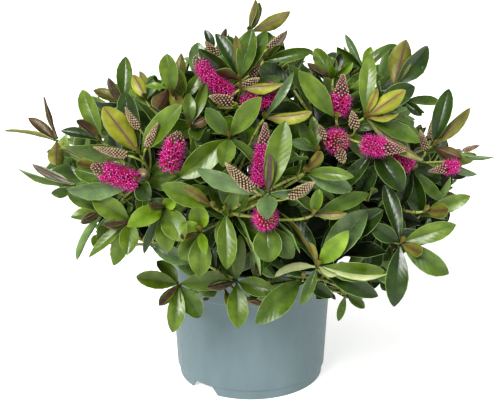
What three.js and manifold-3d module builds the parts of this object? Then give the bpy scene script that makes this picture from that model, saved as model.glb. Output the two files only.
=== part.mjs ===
// A flowering hebe shrub in a three-litre nursery pot.
//
// Millimetres, +Z up. The origin is the middle of the pot's flat underside, and the
// front of the plant looks along -Y. Places in the crown are given from the crown's
// centre: a bearing round the plant (0 at the front, 90 at +X), a rise above the level,
// and a reach from the centre.
//
// A short trunk stands on the compost and sends out whorls of boughs. Every bough ends
// in one mass of foliage. The masses share the crown out between them: each keeps to
// the cone of space that lies nearer its own direction than to any other's.

import * as THREE from 'three';
import { mergeVertices } from 'three/addons/utils/BufferGeometryUtils.js';
import Module from 'manifold-3d';

const wasm = await Module();
wasm.setup();

// ---------------------------------------------------------------- driving dimensions

const DEGREE = Math.PI / 180;
const GAP = 0.3; // between neighbouring pieces

// Pot: outer radii and heights of the moulding, from the foot to the rim.
const POT_HEIGHT = 148;
const POT_SIDES = 28;
const POT_WALL = 1.9;
const FOOT_RADIUS = 82.7;
const FOOT_HEIGHT = 11;
const STEP_RADIUS = 85.3; // where the wall steps out over the foot
const WALL_TOP_RADIUS = 90;
const COLLAR_BOTTOM = 112; // the collar is the stiff band under the rim
const COLLAR_RADIUS = 91.5;
const LIP_DEPTH = 4;
const LIP_RADIUS = 95;
const EDGE = 0.8; // how much the moulding's edges are eased
const DRAFT = 1.6; // how far it flares at each change of wall
const FLOOR_BOTTOM = 10.5;
const FLOOR_THICKNESS = 2;
const NOTCH_BEARINGS = [-39, 141];
const NOTCH_WIDTH = 38;
const NOTCH_TOP_WIDTH = 24;
const NOTCH_HEIGHT = 9.7;
const NOTCH_DEPTH = 20; // of the cut, across the ring
const PAD_RADIUS = 15; // the moulded centre foot that the pot stands on
const PAD_SIDES = 16;
const RIB_WIDTH = 5;
const RIB_BEARINGS = [0, 90];
const DRAIN_COUNT = 4; // between the ribs
const DRAIN_RADIUS = 5;
const DRAIN_SIDES = 8;
const DRAIN_RING = 52;

// Compost
const COMPOST_TOP = 130;
const COMPOST_FLAT = 55; // radius of the level middle
const COMPOST_DIP = 1.2; // how much it falls towards the wall

// Trunk
const TRUNK_SIDES = 10;
const TRUNK_STEPS = 6;
const TRUNK_TOP = 200;
const TRUNK_RADIUS = 8.4;
const TRUNK_TOP_RADIUS = 4.6;
const FLARE = 5.2; // extra radius at the root flare
const FLARE_HEIGHT = 9; // height over which the flare dies away
const TRUNK_LEAN = new THREE.Vector3(-3, 4, 0); // how far its tip leans from its foot
const BUTTRESSES = 5; // lobes of the root flare
const BUTTRESS_DEPTH = 0.3; // of the flare

// Crown
const CROWN_CENTRE = new THREE.Vector3(0, 0, 150);
const WHORL_BOTTOM = 144;
const WHORL_SPACING = 9;
const BOUGH_REACH = 112;
const BOUGH_SIDES = 5;
const BOUGH_STEPS = 2;
const BOUGH_RADIUS = 3.2;
const BOUGH_TIP_RADIUS = 2.2;
const BOUGH_ARCH = 0.07; // how far a level bough arches up, of its length
const CELL_MARGIN = 0.3; // from a mass to the border of its space
const SMALLEST = 0.0035; // detail left in a joined mass

// Masses of foliage, tier by tier. Each tier sits on its own whorls of the trunk, and its
// masses take those in turn. Lowest is the least rise of a shoot.
const TIERS = [
  {
    name: 'low',
    whorls: [0, 1],
    bearings: [24, 66, 110, 156, 202, 250, -58, -16],
    rises: [3, 3, 5, 7, 7, 8, 10, 3],
    reaches: [204, 226, 246, 246, 246, 224, 198, 200],
    lowest: [-12, -10, -8, -8, -8, 2, 4, -12],
  },
  {
    name: 'middle',
    whorls: [2, 3],
    bearings: [-4, 44, 93, 142, 192, 242, -88, -44],
    rises: [32, 31, 23, 30, 30, 30, 25, 32],
    reaches: [262, 274, 292, 280, 276, 284, 298, 270],
  },
  {
    name: 'high',
    whorls: [4, 4.8],
    bearings: [-30, 42, 108, 180, -106],
    rises: [60, 56, 50, 58, 54],
    reaches: [252, 250, 292, 262, 258],
  },
  {
    name: 'top',
    whorls: [7],
    bearings: [30],
    rises: [87],
    reaches: [272],
  },
];

// Shoots
const STEM_LENGTH = 14; // from the bough's tip to the first fork
const STEM_RADIUS = 2.4;
const SHOOT_COUNT = 62; // spread evenly over the crown, besides each mass's leading one
const LOWEST_RISE = -12; // degrees
const GOLDEN_TURN = 137.508; // degrees from one shoot to the next round the crown
const LEADER_ROOM = 9; // degrees round a leading shoot that others keep out of
const SHOOT_SCATTER = 2.5; // degrees
const SHOOT_REACH = [0.82, 0.96]; // of the leading shoot's
const SHOOT_GATHER = 0.22; // how far shoots are drawn in to the middle of their mass
const SHOOT_RADIUS = 1.5;
const SHOOT_TIP_RADIUS = 1.3;
const SHOOT_BEND = 0.12; // how far a shoot bows forward, of its length
const FORK_SPACING = 7;

// Leaves, in crossed pairs counted down from each shoot's tip
const PAIR_PLACES = [20, 40, 64, 94]; // mm from the shoot's tip
const LEAF_LENGTH = 64;
const LEAF_YOUNGEST = 0.5; // of the full length, at the tip
const LEAF_GROWTH = 0.7; // exponent of its growth with age: less than 1 is fast at first
const LEAF_WIDTH = 0.52; // of its length
const LEAF_THICKNESS = 1.7;
const LEAF_WIDEST = 0.46; // of the way along
const LEAF_ARCH = 0.08; // how far the tip drops, of the length
const LEAF_ROOT = 0.6; // how far the root is sunk past the twig's middle
const LEAF_OPENING = [14, 64, 42]; // degrees at the tip, degrees gained, over this many mm
const LEAF_DROOP = 0.34;
const LEAF_TWIST = 32; // degrees, each way, about its own length
const TIP_ROOM = 12; // from a shoot's tip to the reach of its leaves
const LEAF_SIZES = 0.1; // spread of their sizes, each way
const LEAF_TURNS = [0, 35, -35, 70, -70]; // degrees that a leaf may turn aside to find room
const BUD_LENGTH = 26;
const BUD_RADIUS = 4;
const BUD_SWELL = 0.6; // from its tip to where it is widest, of its length
const BUD_TIP_RADIUS = 0.5;

// Blooms: racemes of open flowers and spikes of closed buds
const BLOOM_REACH = 246;
const BLOOM_DEPTH = 34; // elsewhere, how far inside the mass's reach
const OPEN_RADIUS = 12.5;
const SPIKE_RADIUS = 4.6;
const STALK_RADIUS = 1.3;
const STALK_PLACE = 44; // where it leaves its shoot, counted from the shoot's tip
const STALK_BEND = 0.4; // how far it bows, of its length
const STALK_SUNK = 4; // into the bloom
const BLOOM_CLEARANCE = 5; // leaves keep out from in front of a bloom by this much
const MOST_MOVES = 40; // of 1 mm, to bring a bloom inside its mass's space

// The blooms on the sunny front. Lean is clockwise from upright and tilt is outward,
// both in degrees.
const FRONT_BLOOMS = [
  { bearing: -17, rise: 57, lean: -46, tilt: 8, length: 66, open: true },
  { bearing: 5, rise: 53, lean: 68, tilt: 14, length: 46, open: true },
  { bearing: -22, rise: 38, lean: -4, tilt: 22, length: 44, open: true },
  { bearing: -35, rise: 31, lean: -72, tilt: 12, length: 50, open: true },
  { bearing: 33, rise: 52, lean: 4, tilt: 20, length: 44, open: true },
  { bearing: 24, rise: 40, lean: 60, tilt: 76, length: 40, open: true },
  { bearing: 39, rise: 37, lean: 112, tilt: 26, length: 52, open: true },
  { bearing: 58, rise: 28, lean: 98, tilt: 30, length: 46, open: true },
  { bearing: 3, rise: 37, lean: 8, tilt: 10, length: 62, open: true },
  { bearing: 4, rise: 25, lean: 110, tilt: 68, length: 36, open: true },
  { bearing: -28, rise: 66, lean: -44, tilt: 14, length: 36, open: false },
  { bearing: -41, rise: 43, lean: -30, tilt: 20, length: 34, open: false },
  { bearing: -30, rise: 43, lean: -10, tilt: 20, length: 34, open: false },
  { bearing: 3, rise: 64, lean: 24, tilt: 12, length: 38, open: false },
  { bearing: -3, rise: 31, lean: -50, tilt: 20, length: 38, open: false },
  { bearing: 12, rise: 30, lean: 62, tilt: 20, length: 34, open: false },
  { bearing: 34, rise: 44, lean: -8, tilt: 28, length: 26, open: false },
  { bearing: 66, rise: 38, lean: 4, tilt: 12, length: 34, open: false },
  { bearing: 84, rise: 28, lean: 84, tilt: 20, length: 34, open: false },
];
// Every mass on the back has one open raceme and one bud spike.
const BACK_BLOOMS = [
  { turn: 40, spread: 8, lean: -30, tilt: 30, length: 46, open: true },
  { turn: 220, spread: 10, lean: 40, tilt: 30, length: 34, open: false },
];

// ---------------------------------------------------------------- materials

const finish = (color, roughness) =>
  new THREE.MeshStandardMaterial({ color, roughness, metalness: 0, flatShading: true });
const POT_PLASTIC = finish('#839da0', 0.55);
const PEAT = finish('#2c2119', 0.95);
const BARK = finish('#6b5640', 0.85);
const GREEN_BARK = finish('#7c8040', 0.7);
const FOLIAGE = finish('#4f7a2b', 0.45);

// ---------------------------------------------------------------- solids and meshes

// A closed geometry as a solid that can be joined and cut.
function toSolid(geometry) {
  const bare = new THREE.BufferGeometry();
  bare.setAttribute('position', geometry.attributes.position);
  bare.setIndex(geometry.index);
  const merged = mergeVertices(bare, 1e-4);
  const corners = merged.index.array;
  const triangles = [];
  for (let i = 0; i < corners.length; i += 3) {
    const [a, b, c] = corners.slice(i, i + 3);
    if (a !== b && b !== c && c !== a) {
      triangles.push(a, b, c);
    }
  }
  return new wasm.Manifold(new wasm.Mesh({
    numProp: 3,
    vertProperties: merged.attributes.position.array,
    triVerts: new Uint32Array(triangles),
  }));
}

// A solid as a named mesh.
function toMesh(name, solid, material) {
  const { vertProperties, triVerts } = solid.getMesh();
  const geometry = new THREE.BufferGeometry();
  geometry.setAttribute('position', new THREE.BufferAttribute(Float32Array.from(vertProperties), 3));
  geometry.setIndex(Array.from(triVerts));
  geometry.computeVertexNormals();
  const mesh = new THREE.Mesh(geometry, material);
  mesh.name = name;
  return mesh;
}

// The main body of a solid, without loose scraps or sealed hollows.
function mainBody(solid) {
  return solid.decompose().reduce((best, body) => (body.volume() > best.volume() ? body : best));
}

// A solid turned from a profile of [radius, height] points about the Z axis.
function turned(profile, sides) {
  const points = profile.map(([radius, height]) => new THREE.Vector2(radius, height));
  return toSolid(new THREE.LatheGeometry(points, sides).rotateX(Math.PI / 2));
}

// A closed limb: a cylinder bent along a curve. Each station gives the way along, 0 to 1,
// and the radius there. radiusRound, where given, varies the radius with the angle round.
function limbGeometry(curve, stations, sides, radiusRound = () => 1) {
  const steps = stations.length - 1;
  const geometry = new THREE.CylinderGeometry(1, 1, 1, sides, steps);
  const reference = curve.getTangentAt(0).y ** 2 > 0.5
    ? new THREE.Vector3(0, 0, 1)
    : new THREE.Vector3(0, 1, 0);
  const position = geometry.attributes.position;
  for (let i = 0; i < position.count; i += 1) {
    const [x, y, z] = [position.getX(i), position.getY(i), position.getZ(i)];
    const [along, radius] = stations[Math.round((y + 0.5) * steps)];
    const ahead = curve.getTangentAt(along);
    const side = reference.clone().cross(ahead).normalize();
    const turn = radius * radiusRound(Math.atan2(z, x), along);
    const place = curve.getPointAt(along)
      .addScaledVector(side, x * turn)
      .addScaledVector(side.clone().cross(ahead), z * turn);
    position.setXYZ(i, place.x, place.y, place.z);
  }
  return geometry;
}

const limb = (...shape) => toSolid(limbGeometry(...shape));

// Even stations along a limb with a radius function.
const evenly = (steps, radiusAt) =>
  Array.from({ length: steps + 1 }, (_, i) => [i / steps, radiusAt(i / steps)]);

const meets = (solid, other) => !solid.intersect(other).isEmpty();

// Repeatable random numbers from 0 to 1.
function seeded(seed) {
  let state = seed >>> 0;
  return () => {
    state = (state + 0x6d2b79f5) >>> 0;
    let mixed = Math.imul(state ^ (state >>> 15), state | 1);
    mixed ^= mixed + Math.imul(mixed ^ (mixed >>> 7), mixed | 61);
    return ((mixed ^ (mixed >>> 14)) >>> 0) / 4294967296;
  };
}

// ---------------------------------------------------------------- places in the crown

// The direction that points outward at a bearing and a rise.
function outward(bearing, rise) {
  const [b, r] = [bearing * DEGREE, rise * DEGREE];
  return new THREE.Vector3(Math.cos(r) * Math.sin(b), -Math.cos(r) * Math.cos(b), Math.sin(r));
}

// The directions to the right and up the crown there, seen from outside.
const rightward = (bearing) => outward(bearing + 90, 0);
const upward = (bearing, rise) => outward(bearing, rise + 90);

// The direction at some degrees from a bearing and rise, turned clockwise from up.
function aside(bearing, rise, spread, turn) {
  return outward(bearing, rise)
    .addScaledVector(upward(bearing, rise), Math.tan(spread * DEGREE) * Math.cos(turn * DEGREE))
    .addScaledVector(rightward(bearing), Math.tan(spread * DEGREE) * Math.sin(turn * DEGREE))
    .normalize();
}

const crownPoint = (way, reach) => CROWN_CENTRE.clone().addScaledVector(way, reach);

const MASSES = TIERS.flatMap((tier, level) => tier.bearings.map((bearing, i) => ({
  name: tier.bearings.length > 1 ? `${tier.name}_${i + 1}` : tier.name,
  seed: 100 * level + i + 1,
  whorl: tier.whorls[i % tier.whorls.length],
  bearing,
  rise: tier.rises[i],
  reach: tier.reaches[i],
  lowest: tier.lowest?.[i] ?? 0,
  way: outward(bearing, tier.rises[i]),
})));

// The mass whose space a direction falls in.
const nearestMass = (way) => MASSES.reduce((best, mass) =>
  (mass.way.dot(way) > best.way.dot(way) ? mass : best));

// Whether all points lie in the mass's own space, clear of its borders.
function inOwnSpace(mass, points) {
  return MASSES.every((other) => {
    if (other === mass) {
      return true;
    }
    const across = mass.way.clone().sub(other.way).normalize();
    return points.every((point) => point.clone().sub(CROWN_CENTRE).dot(across) > CELL_MARGIN);
  });
}

// ---------------------------------------------------------------- pot and compost

function potSolid() {
  const footInside = FOOT_RADIUS - POT_WALL;
  const lipBottom = POT_HEIGHT - LIP_DEPTH;
  const floorTop = FLOOR_BOTTOM + FLOOR_THICKNESS;
  const shell = turned([
    [0, FLOOR_BOTTOM],
    [footInside, FLOOR_BOTTOM],
    [footInside, 0],
    [FOOT_RADIUS, 0],
    [FOOT_RADIUS + EDGE, FOOT_HEIGHT],
    [STEP_RADIUS, FOOT_HEIGHT + EDGE],
    [WALL_TOP_RADIUS, COLLAR_BOTTOM],
    [COLLAR_RADIUS, COLLAR_BOTTOM + DRAFT],
    [LIP_RADIUS - DRAFT, lipBottom],
    [LIP_RADIUS, lipBottom + EDGE],
    [LIP_RADIUS, POT_HEIGHT - EDGE],
    [LIP_RADIUS - EDGE, POT_HEIGHT],
    [LIP_RADIUS - DRAFT - POT_WALL, POT_HEIGHT],
    [COLLAR_RADIUS - POT_WALL, COLLAR_BOTTOM + DRAFT],
    [WALL_TOP_RADIUS - POT_WALL, COLLAR_BOTTOM - DRAFT],
    [STEP_RADIUS - POT_WALL, floorTop],
    [0, floorTop],
  ], POT_SIDES);
  const middleOfFloor = (FLOOR_BOTTOM + floorTop) / 2;
  const pad = new THREE.CylinderGeometry(PAD_RADIUS, PAD_RADIUS, middleOfFloor, PAD_SIDES)
    .rotateX(Math.PI / 2)
    .translate(0, 0, middleOfFloor / 2);
  const ribs = RIB_BEARINGS.map((bearing) => toSolid(
    new THREE.BoxGeometry(2 * footInside + POT_WALL, RIB_WIDTH, middleOfFloor)
      .translate(0, 0, middleOfFloor / 2)
      .rotateZ(bearing * DEGREE),
  ));
  const notches = NOTCH_BEARINGS.map(notchCutter);
  return wasm.Manifold.union([shell, toSolid(pad), ...ribs])
    .subtract(wasm.Manifold.union([...notches, ...drainCutters()]));
}

// A trapezoid that cuts through the foot ring at a bearing.
function notchCutter(bearing) {
  const outline = new THREE.Shape([
    new THREE.Vector2(-NOTCH_WIDTH / 2, -1),
    new THREE.Vector2(NOTCH_WIDTH / 2, -1),
    new THREE.Vector2(NOTCH_TOP_WIDTH / 2, NOTCH_HEIGHT),
    new THREE.Vector2(-NOTCH_TOP_WIDTH / 2, NOTCH_HEIGHT),
  ]);
  return toSolid(
    new THREE.ExtrudeGeometry(outline, { depth: NOTCH_DEPTH, bevelEnabled: false })
      .rotateX(Math.PI / 2)
      .translate(0, 0.8 * NOTCH_DEPTH - FOOT_RADIUS, 0)
      .rotateZ(bearing * DEGREE),
  );
}

function drainCutters() {
  return Array.from({ length: DRAIN_COUNT }, (_, i) => {
    const place = outward((360 / DRAIN_COUNT) * (i + 0.5), 0).multiplyScalar(DRAIN_RING);
    const hole = new THREE.CylinderGeometry(
      DRAIN_RADIUS, DRAIN_RADIUS, 3 * FLOOR_THICKNESS, DRAIN_SIDES,
    );
    hole.rotateX(Math.PI / 2).translate(place.x, place.y, FLOOR_BOTTOM + FLOOR_THICKNESS / 2);
    return toSolid(hole);
  });
}

function compostSolid() {
  const bottom = FLOOR_BOTTOM + FLOOR_THICKNESS + GAP;
  const inset = POT_WALL + 2 * GAP;
  return turned([
    [0, bottom],
    [STEP_RADIUS - inset, bottom],
    [WALL_TOP_RADIUS - inset, COLLAR_BOTTOM - DRAFT],
    [COLLAR_RADIUS - inset, COMPOST_TOP - COMPOST_DIP],
    [COMPOST_FLAT, COMPOST_TOP],
    [0, COMPOST_TOP],
  ], POT_SIDES);
}

// ---------------------------------------------------------------- trunk and boughs

const TRUNK_FOOT = new THREE.Vector3(0, 0, COMPOST_TOP + GAP);
const TRUNK_TIP = new THREE.Vector3(0, 0, TRUNK_TOP).add(TRUNK_LEAN);

// The trunk rises straight from the compost and leans a little as it goes.
const TRUNK_CURVE = new THREE.QuadraticBezierCurve3(
  TRUNK_FOOT,
  new THREE.Vector3(0, 0, 0.6 * COMPOST_TOP + 0.4 * TRUNK_TOP),
  TRUNK_TIP,
);

function trunkSolid(allowance) {
  const height = TRUNK_TOP - COMPOST_TOP;
  const flareAt = (along) => FLARE * Math.exp((-along * height) / FLARE_HEIGHT);
  const radiusAt = (along) =>
    TRUNK_RADIUS + (TRUNK_TOP_RADIUS - TRUNK_RADIUS) * along + flareAt(along) + allowance;
  const buttress = (angle, along) =>
    1 + (BUTTRESS_DEPTH * flareAt(along) * Math.cos(BUTTRESSES * angle)) / radiusAt(along);
  return limb(TRUNK_CURVE, evenly(TRUNK_STEPS, radiusAt), TRUNK_SIDES, buttress);
}

// A bough leaves the trunk at its whorl and arches out to its mass of foliage. The
// topmost one goes on from the trunk's tip.
function boughCurve(mass) {
  const tip = crownPoint(mass.way, BOUGH_REACH);
  const height = WHORL_BOTTOM + WHORL_SPACING * mass.whorl;
  const way = (height - COMPOST_TOP) / (TRUNK_TOP - COMPOST_TOP);
  const foot = way > 1
    ? TRUNK_TIP.clone().addScaledVector(TRUNK_CURVE.getTangentAt(1), GAP)
    : TRUNK_CURVE.getPointAt(way);
  const length = foot.distanceTo(tip);
  const bend = foot.clone().lerp(tip, 0.5)
    .add(new THREE.Vector3(0, 0, BOUGH_ARCH * length * Math.cos(mass.rise * DEGREE)));
  return new THREE.QuadraticBezierCurve3(foot, bend, tip);
}

function boughSolid(mass, allowance) {
  const radiusAt = (along) =>
    BOUGH_RADIUS + (BOUGH_TIP_RADIUS - BOUGH_RADIUS) * along + allowance;
  return limb(boughCurve(mass), evenly(BOUGH_STEPS, radiusAt), BOUGH_SIDES);
}

const TRUNK_WITH_ROOM = trunkSolid(GAP);

// What the leaves keep clear of: the pot, the trunk and the boughs.
const LIMBS_AND_POT = wasm.Manifold.union([
  turned([
    [0, -1],
    [FOOT_RADIUS, -1],
    [LIP_RADIUS + GAP, COLLAR_BOTTOM],
    [LIP_RADIUS + GAP, POT_HEIGHT + GAP],
    [0, POT_HEIGHT + GAP],
  ], POT_SIDES),
  TRUNK_WITH_ROOM,
  ...MASSES.map((mass) => boughSolid(mass, GAP)),
]);

// ---------------------------------------------------------------- leaves and blooms

// A closed leaf, drawn out from its root to its tip: two long three-sided pyramids that
// meet where it is widest. Its top is flat across, its underside has a keel and its tip
// drops.
function leafShape(root, along, up, length) {
  const side = up.clone().cross(along);
  const width = LEAF_WIDTH * length;
  const geometry = new THREE.SphereGeometry(1, 3, 2, Math.PI);
  const position = geometry.attributes.position;
  for (let i = 0; i < position.count; i += 1) {
    const [x, y, z] = [position.getX(i), position.getY(i), position.getZ(i)];
    const way = Math.abs(y) > 0.5 ? (1 - y) / 2 : LEAF_WIDEST;
    const place = root.clone()
      .addScaledVector(along, way * length)
      .addScaledVector(side, (z / Math.sqrt(3)) * width)
      .addScaledVector(up, (x > 0.5 ? -LEAF_THICKNESS : 0) - LEAF_ARCH * length * way ** 2);
    position.setXYZ(i, place.x, place.y, place.z);
  }
  return geometry;
}

// The corner points of a geometry.
function cornersOf(geometry) {
  const position = geometry.attributes.position;
  return Array.from({ length: position.count }, (_, i) =>
    new THREE.Vector3().fromBufferAttribute(position, i));
}

// A bloom as a spindle from its base to its tip, widest below its middle.
function bloomGeometry(bloom) {
  const curve = new THREE.LineCurve3(bloom.base, bloom.tip);
  const stations = bloom.open
    ? [[0, 0.7], [0.25, 1], [0.65, 0.85], [1, 0.3]]
    : [[0, 0.7], [0.35, 1], [1, 0.35]];
  const radii = stations.map(([along, share]) => [along, share * bloom.radius]);
  return limbGeometry(curve, radii, bloom.open ? 5 : 4);
}

// Where a bloom stands in the crown. Its face is the side that leaves stay clear of: on
// the front it turns towards the light.
function placeBloom(way, bearing, rise, reach, plan) {
  const [lean, tilt] = [plan.lean * DEGREE, plan.tilt * DEGREE];
  const axis = outward(bearing, rise).multiplyScalar(Math.sin(tilt))
    .addScaledVector(upward(bearing, rise), Math.cos(tilt) * Math.cos(lean))
    .addScaledVector(rightward(bearing), Math.cos(tilt) * Math.sin(lean));
  const centre = crownPoint(way, reach);
  return {
    open: plan.open,
    radius: plan.open ? OPEN_RADIUS : SPIKE_RADIUS,
    base: centre.clone().addScaledVector(axis, -plan.length / 2),
    tip: centre.clone().addScaledVector(axis, plan.length / 2),
    face: way.clone().add(way.y < 0 ? outward(0, 0) : way).normalize(),
  };
}

// All blooms of the crown, each with the mass that it grows in.
function placeBlooms() {
  const front = FRONT_BLOOMS.map((plan) => {
    const way = outward(plan.bearing, plan.rise);
    const mass = nearestMass(way);
    return { mass, ...placeBloom(way, plan.bearing, plan.rise, BLOOM_REACH, plan) };
  });
  const back = MASSES.filter((mass) => mass.way.y > 0).flatMap((mass) =>
    BACK_BLOOMS.map((plan) => {
      const way = aside(mass.bearing, mass.rise, plan.spread, plan.turn + 50 * mass.seed);
      const reach = mass.reach - BLOOM_DEPTH;
      return { mass, ...placeBloom(way, mass.bearing, mass.rise, reach, plan) };
    }));
  return [...front, ...back].map(movedInside);
}

// A bloom by a border of its mass's space is moved in until it is clear of it.
function movedInside(bloom) {
  const inward = bloom.mass.way;
  const moved = { ...bloom, base: bloom.base.clone(), tip: bloom.tip.clone() };
  const outline = () => cornersOf(bloomGeometry(moved));
  for (let step = 0; step < MOST_MOVES && !inOwnSpace(bloom.mass, outline()); step += 1) {
    const middle = moved.base.clone().lerp(moved.tip, 0.5).sub(CROWN_CENTRE);
    const move = inward.clone().multiplyScalar(middle.length()).sub(middle).setLength(1);
    moved.base.add(move);
    moved.tip.add(move);
  }
  return moved;
}

const BLOOMS = placeBlooms();

// Whether a leaf would hide a bloom: whether it lies in front of its face.
function hidesBloom(points) {
  return BLOOMS.some((bloom) => points.some((point) => {
    const line = new THREE.Line3(bloom.base, bloom.tip);
    const nearest = line.closestPointToPoint(point, true, new THREE.Vector3());
    const apart = point.clone().sub(nearest);
    const depth = apart.dot(bloom.face);
    const beside = apart.addScaledVector(bloom.face, -depth).length();
    return depth > 0 && beside < bloom.radius + BLOOM_CLEARANCE;
  }));
}

// ---------------------------------------------------------------- masses of foliage

// The ways that the shoots of all the masses point: an even spiral over the crown, with
// room left round each mass's leading shoot.
function shootWays() {
  const random = seeded(SHOOT_COUNT);
  const lowest = Math.sin(LOWEST_RISE * DEGREE);
  const room = Math.cos(LEADER_ROOM * DEGREE);
  return Array.from({ length: SHOOT_COUNT }, (_, i) => {
    const sine = 1 - ((1 - lowest) * (i + 0.5)) / SHOOT_COUNT;
    const rise = Math.asin(sine) / DEGREE + SHOOT_SCATTER * (2 * random() - 1);
    const bearing = GOLDEN_TURN * i + SHOOT_SCATTER * (2 * random() - 1);
    return outward(bearing, rise);
  }).filter((way) => MASSES.every((mass) => mass.way.dot(way) < room));
}

const SHOOT_WAYS = shootWays();

// The shoots of a mass. The leading one goes on from the bough along the middle of the
// mass, and the others fork off it one after another.
function shootCurves(mass, random) {
  const bough = boughCurve(mass);
  const ahead = bough.getTangentAt(1);
  const foot = bough.getPointAt(1).addScaledVector(ahead, GAP);
  const tip = crownPoint(mass.way, mass.reach - TIP_ROOM);
  const straightOn = foot.clone().addScaledVector(ahead, foot.distanceTo(tip) / 2);
  const leader = new THREE.QuadraticBezierCurve3(foot, straightOn, tip);
  const [least, most] = SHOOT_REACH;
  const ways = SHOOT_WAYS.filter((way) =>
    nearestMass(way) === mass && way.z > Math.sin(mass.lowest * DEGREE));
  const others = ways.map((way, i) => {
    const place = (STEM_LENGTH + FORK_SPACING * i) / leader.getLength();
    const reach = mass.reach * (least + (most - least) * random());
    const inward = way.clone().lerp(mass.way, SHOOT_GATHER).normalize();
    return bentShoot(leader.getPointAt(place), ahead, crownPoint(inward, reach - TIP_ROOM));
  });
  return [leader, ...others];
}

// A shoot from its foot to its tip. It sets out nearly straight for the tip, but a
// little forward.
function bentShoot(foot, ahead, tip) {
  const forward = SHOOT_BEND * foot.distanceTo(tip);
  const bend = foot.clone().lerp(tip, 0.5).addScaledVector(ahead, forward);
  return new THREE.QuadraticBezierCurve3(foot, bend, tip);
}

// How the leaves of a pair stand at a distance from the shoot's tip.
function leafPlan(distance) {
  const [least, gain, over] = LEAF_OPENING;
  const age = 1 - Math.exp(-distance / over);
  return {
    opening: (least + gain * age) * DEGREE,
    length: LEAF_LENGTH * (LEAF_YOUNGEST + (1 - LEAF_YOUNGEST) * age ** LEAF_GROWTH),
    droop: LEAF_DROOP * age,
  };
}

// One leaf on a shoot, at a distance from its tip and an angle round it. Twist turns it
// about its own length.
function leafOnShoot(curve, distance, roll, size, twist) {
  const way = Math.max(0.02, 1 - distance / curve.getLength());
  const ahead = curve.getTangentAt(way);
  const plan = leafPlan(distance);
  const level = new THREE.Vector3(ahead.y, -ahead.x, 0.001).normalize();
  const aboveIt = level.clone().cross(ahead).normalize();
  const side = level.multiplyScalar(Math.cos(roll)).addScaledVector(aboveIt, Math.sin(roll));
  const along = ahead.clone().multiplyScalar(Math.cos(plan.opening))
    .addScaledVector(side, Math.sin(plan.opening))
    .add(new THREE.Vector3(0, 0, -plan.droop))
    .normalize();
  const up = ahead.clone().addScaledVector(along, -ahead.dot(along)).normalize()
    .applyAxisAngle(along, twist);
  const root = curve.getPointAt(way).addScaledVector(along, -LEAF_ROOT);
  return leafShape(root, along, up, plan.length * size);
}

// A shoot, which ends in the folded bud of its youngest leaves.
function shootSolid(curve, footRadius) {
  const length = curve.getLength();
  return limb(curve, [
    [0, footRadius],
    [0.5, (footRadius + SHOOT_TIP_RADIUS) / 2],
    [1 - BUD_LENGTH / length, SHOOT_TIP_RADIUS],
    [1 - (BUD_SWELL * BUD_LENGTH) / length, BUD_RADIUS],
    [1, BUD_TIP_RADIUS],
  ], 3);
}

// The stalk that carries a bloom from the nearest shoot of its mass.
function stalkSolid(bloom, curves) {
  const starts = curves.map((curve) => curve.getPointAt(1 - STALK_PLACE / curve.getLength()));
  const start = starts.reduce((best, place) =>
    (place.distanceTo(bloom.base) < best.distanceTo(bloom.base) ? place : best));
  const axis = bloom.tip.clone().sub(bloom.base).normalize();
  const end = bloom.base.clone().addScaledVector(axis, STALK_SUNK);
  const back = STALK_BEND * start.distanceTo(bloom.base);
  const bend = bloom.base.clone().addScaledVector(axis, -back);
  const curve = new THREE.QuadraticBezierCurve3(start, bend, end);
  return limb(curve, evenly(2, () => STALK_RADIUS), 3);
}

// The leaves of a mass as solids, pair by pair from the tips down. A leaf that meets
// something turns aside on its shoot, and one that finds no room is left out.
function leafSolids(mass, curves, twigs, random) {
  const leaves = [];
  const fits = (corners, solid, shoot) => inOwnSpace(mass, corners)
    && !hidesBloom(corners)
    && !meets(solid, LIMBS_AND_POT)
    && !twigs.some((twig, i) => i !== shoot && meets(solid, twig))
    && !leaves.some((leaf) => leaf.shoot !== shoot && meets(solid, leaf.solid));
  const rolls = curves.map(() => Math.PI * random());
  PAIR_PLACES.forEach((distance, pair) => {
    curves.forEach((curve, shoot) => {
      for (const half of [0, 1]) {
        const size = 1 + LEAF_SIZES * (2 * random() - 1);
        const twist = LEAF_TWIST * DEGREE * (2 * random() - 1);
        for (const turn of LEAF_TURNS) {
          const angle = rolls[shoot] + (Math.PI / 2) * pair + Math.PI * half + turn * DEGREE;
          const geometry = leafOnShoot(curve, distance, angle, size, twist);
          const solid = toSolid(geometry);
          if (fits(cornersOf(geometry), solid, shoot)) {
            leaves.push({ shoot, solid });
            break;
          }
        }
      }
    });
  });
  return leaves.map((leaf) => leaf.solid);
}

// A whole mass of foliage as one solid.
function foliageSolid(mass) {
  const random = seeded(mass.seed);
  const curves = shootCurves(mass, random);
  const twigs = curves.map((curve, i) => shootSolid(curve, i === 0 ? STEM_RADIUS : SHOOT_RADIUS));
  const leaves = leafSolids(mass, curves, twigs, random);
  const blooms = BLOOMS.filter((bloom) => bloom.mass === mass)
    .flatMap((bloom) => [toSolid(bloomGeometry(bloom)), stalkSolid(bloom, curves)]);
  return mainBody(wasm.Manifold.union([...twigs, ...leaves, ...blooms]).simplify(SMALLEST));
}

// ---------------------------------------------------------------- the whole plant

const plant = new THREE.Group();
plant.add(toMesh('pot', potSolid(), POT_PLASTIC));
plant.add(toMesh('compost', compostSolid(), PEAT));
plant.add(toMesh('trunk', trunkSolid(0), BARK));
for (const mass of MASSES) {
  const bough = mainBody(boughSolid(mass, 0).subtract(TRUNK_WITH_ROOM));
  plant.add(toMesh(`bough_${mass.name}`, bough, GREEN_BARK));
}
for (const mass of MASSES) {
  plant.add(toMesh(`foliage_${mass.name}`, foliageSolid(mass), FOLIAGE));
}

export default plant;
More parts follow.
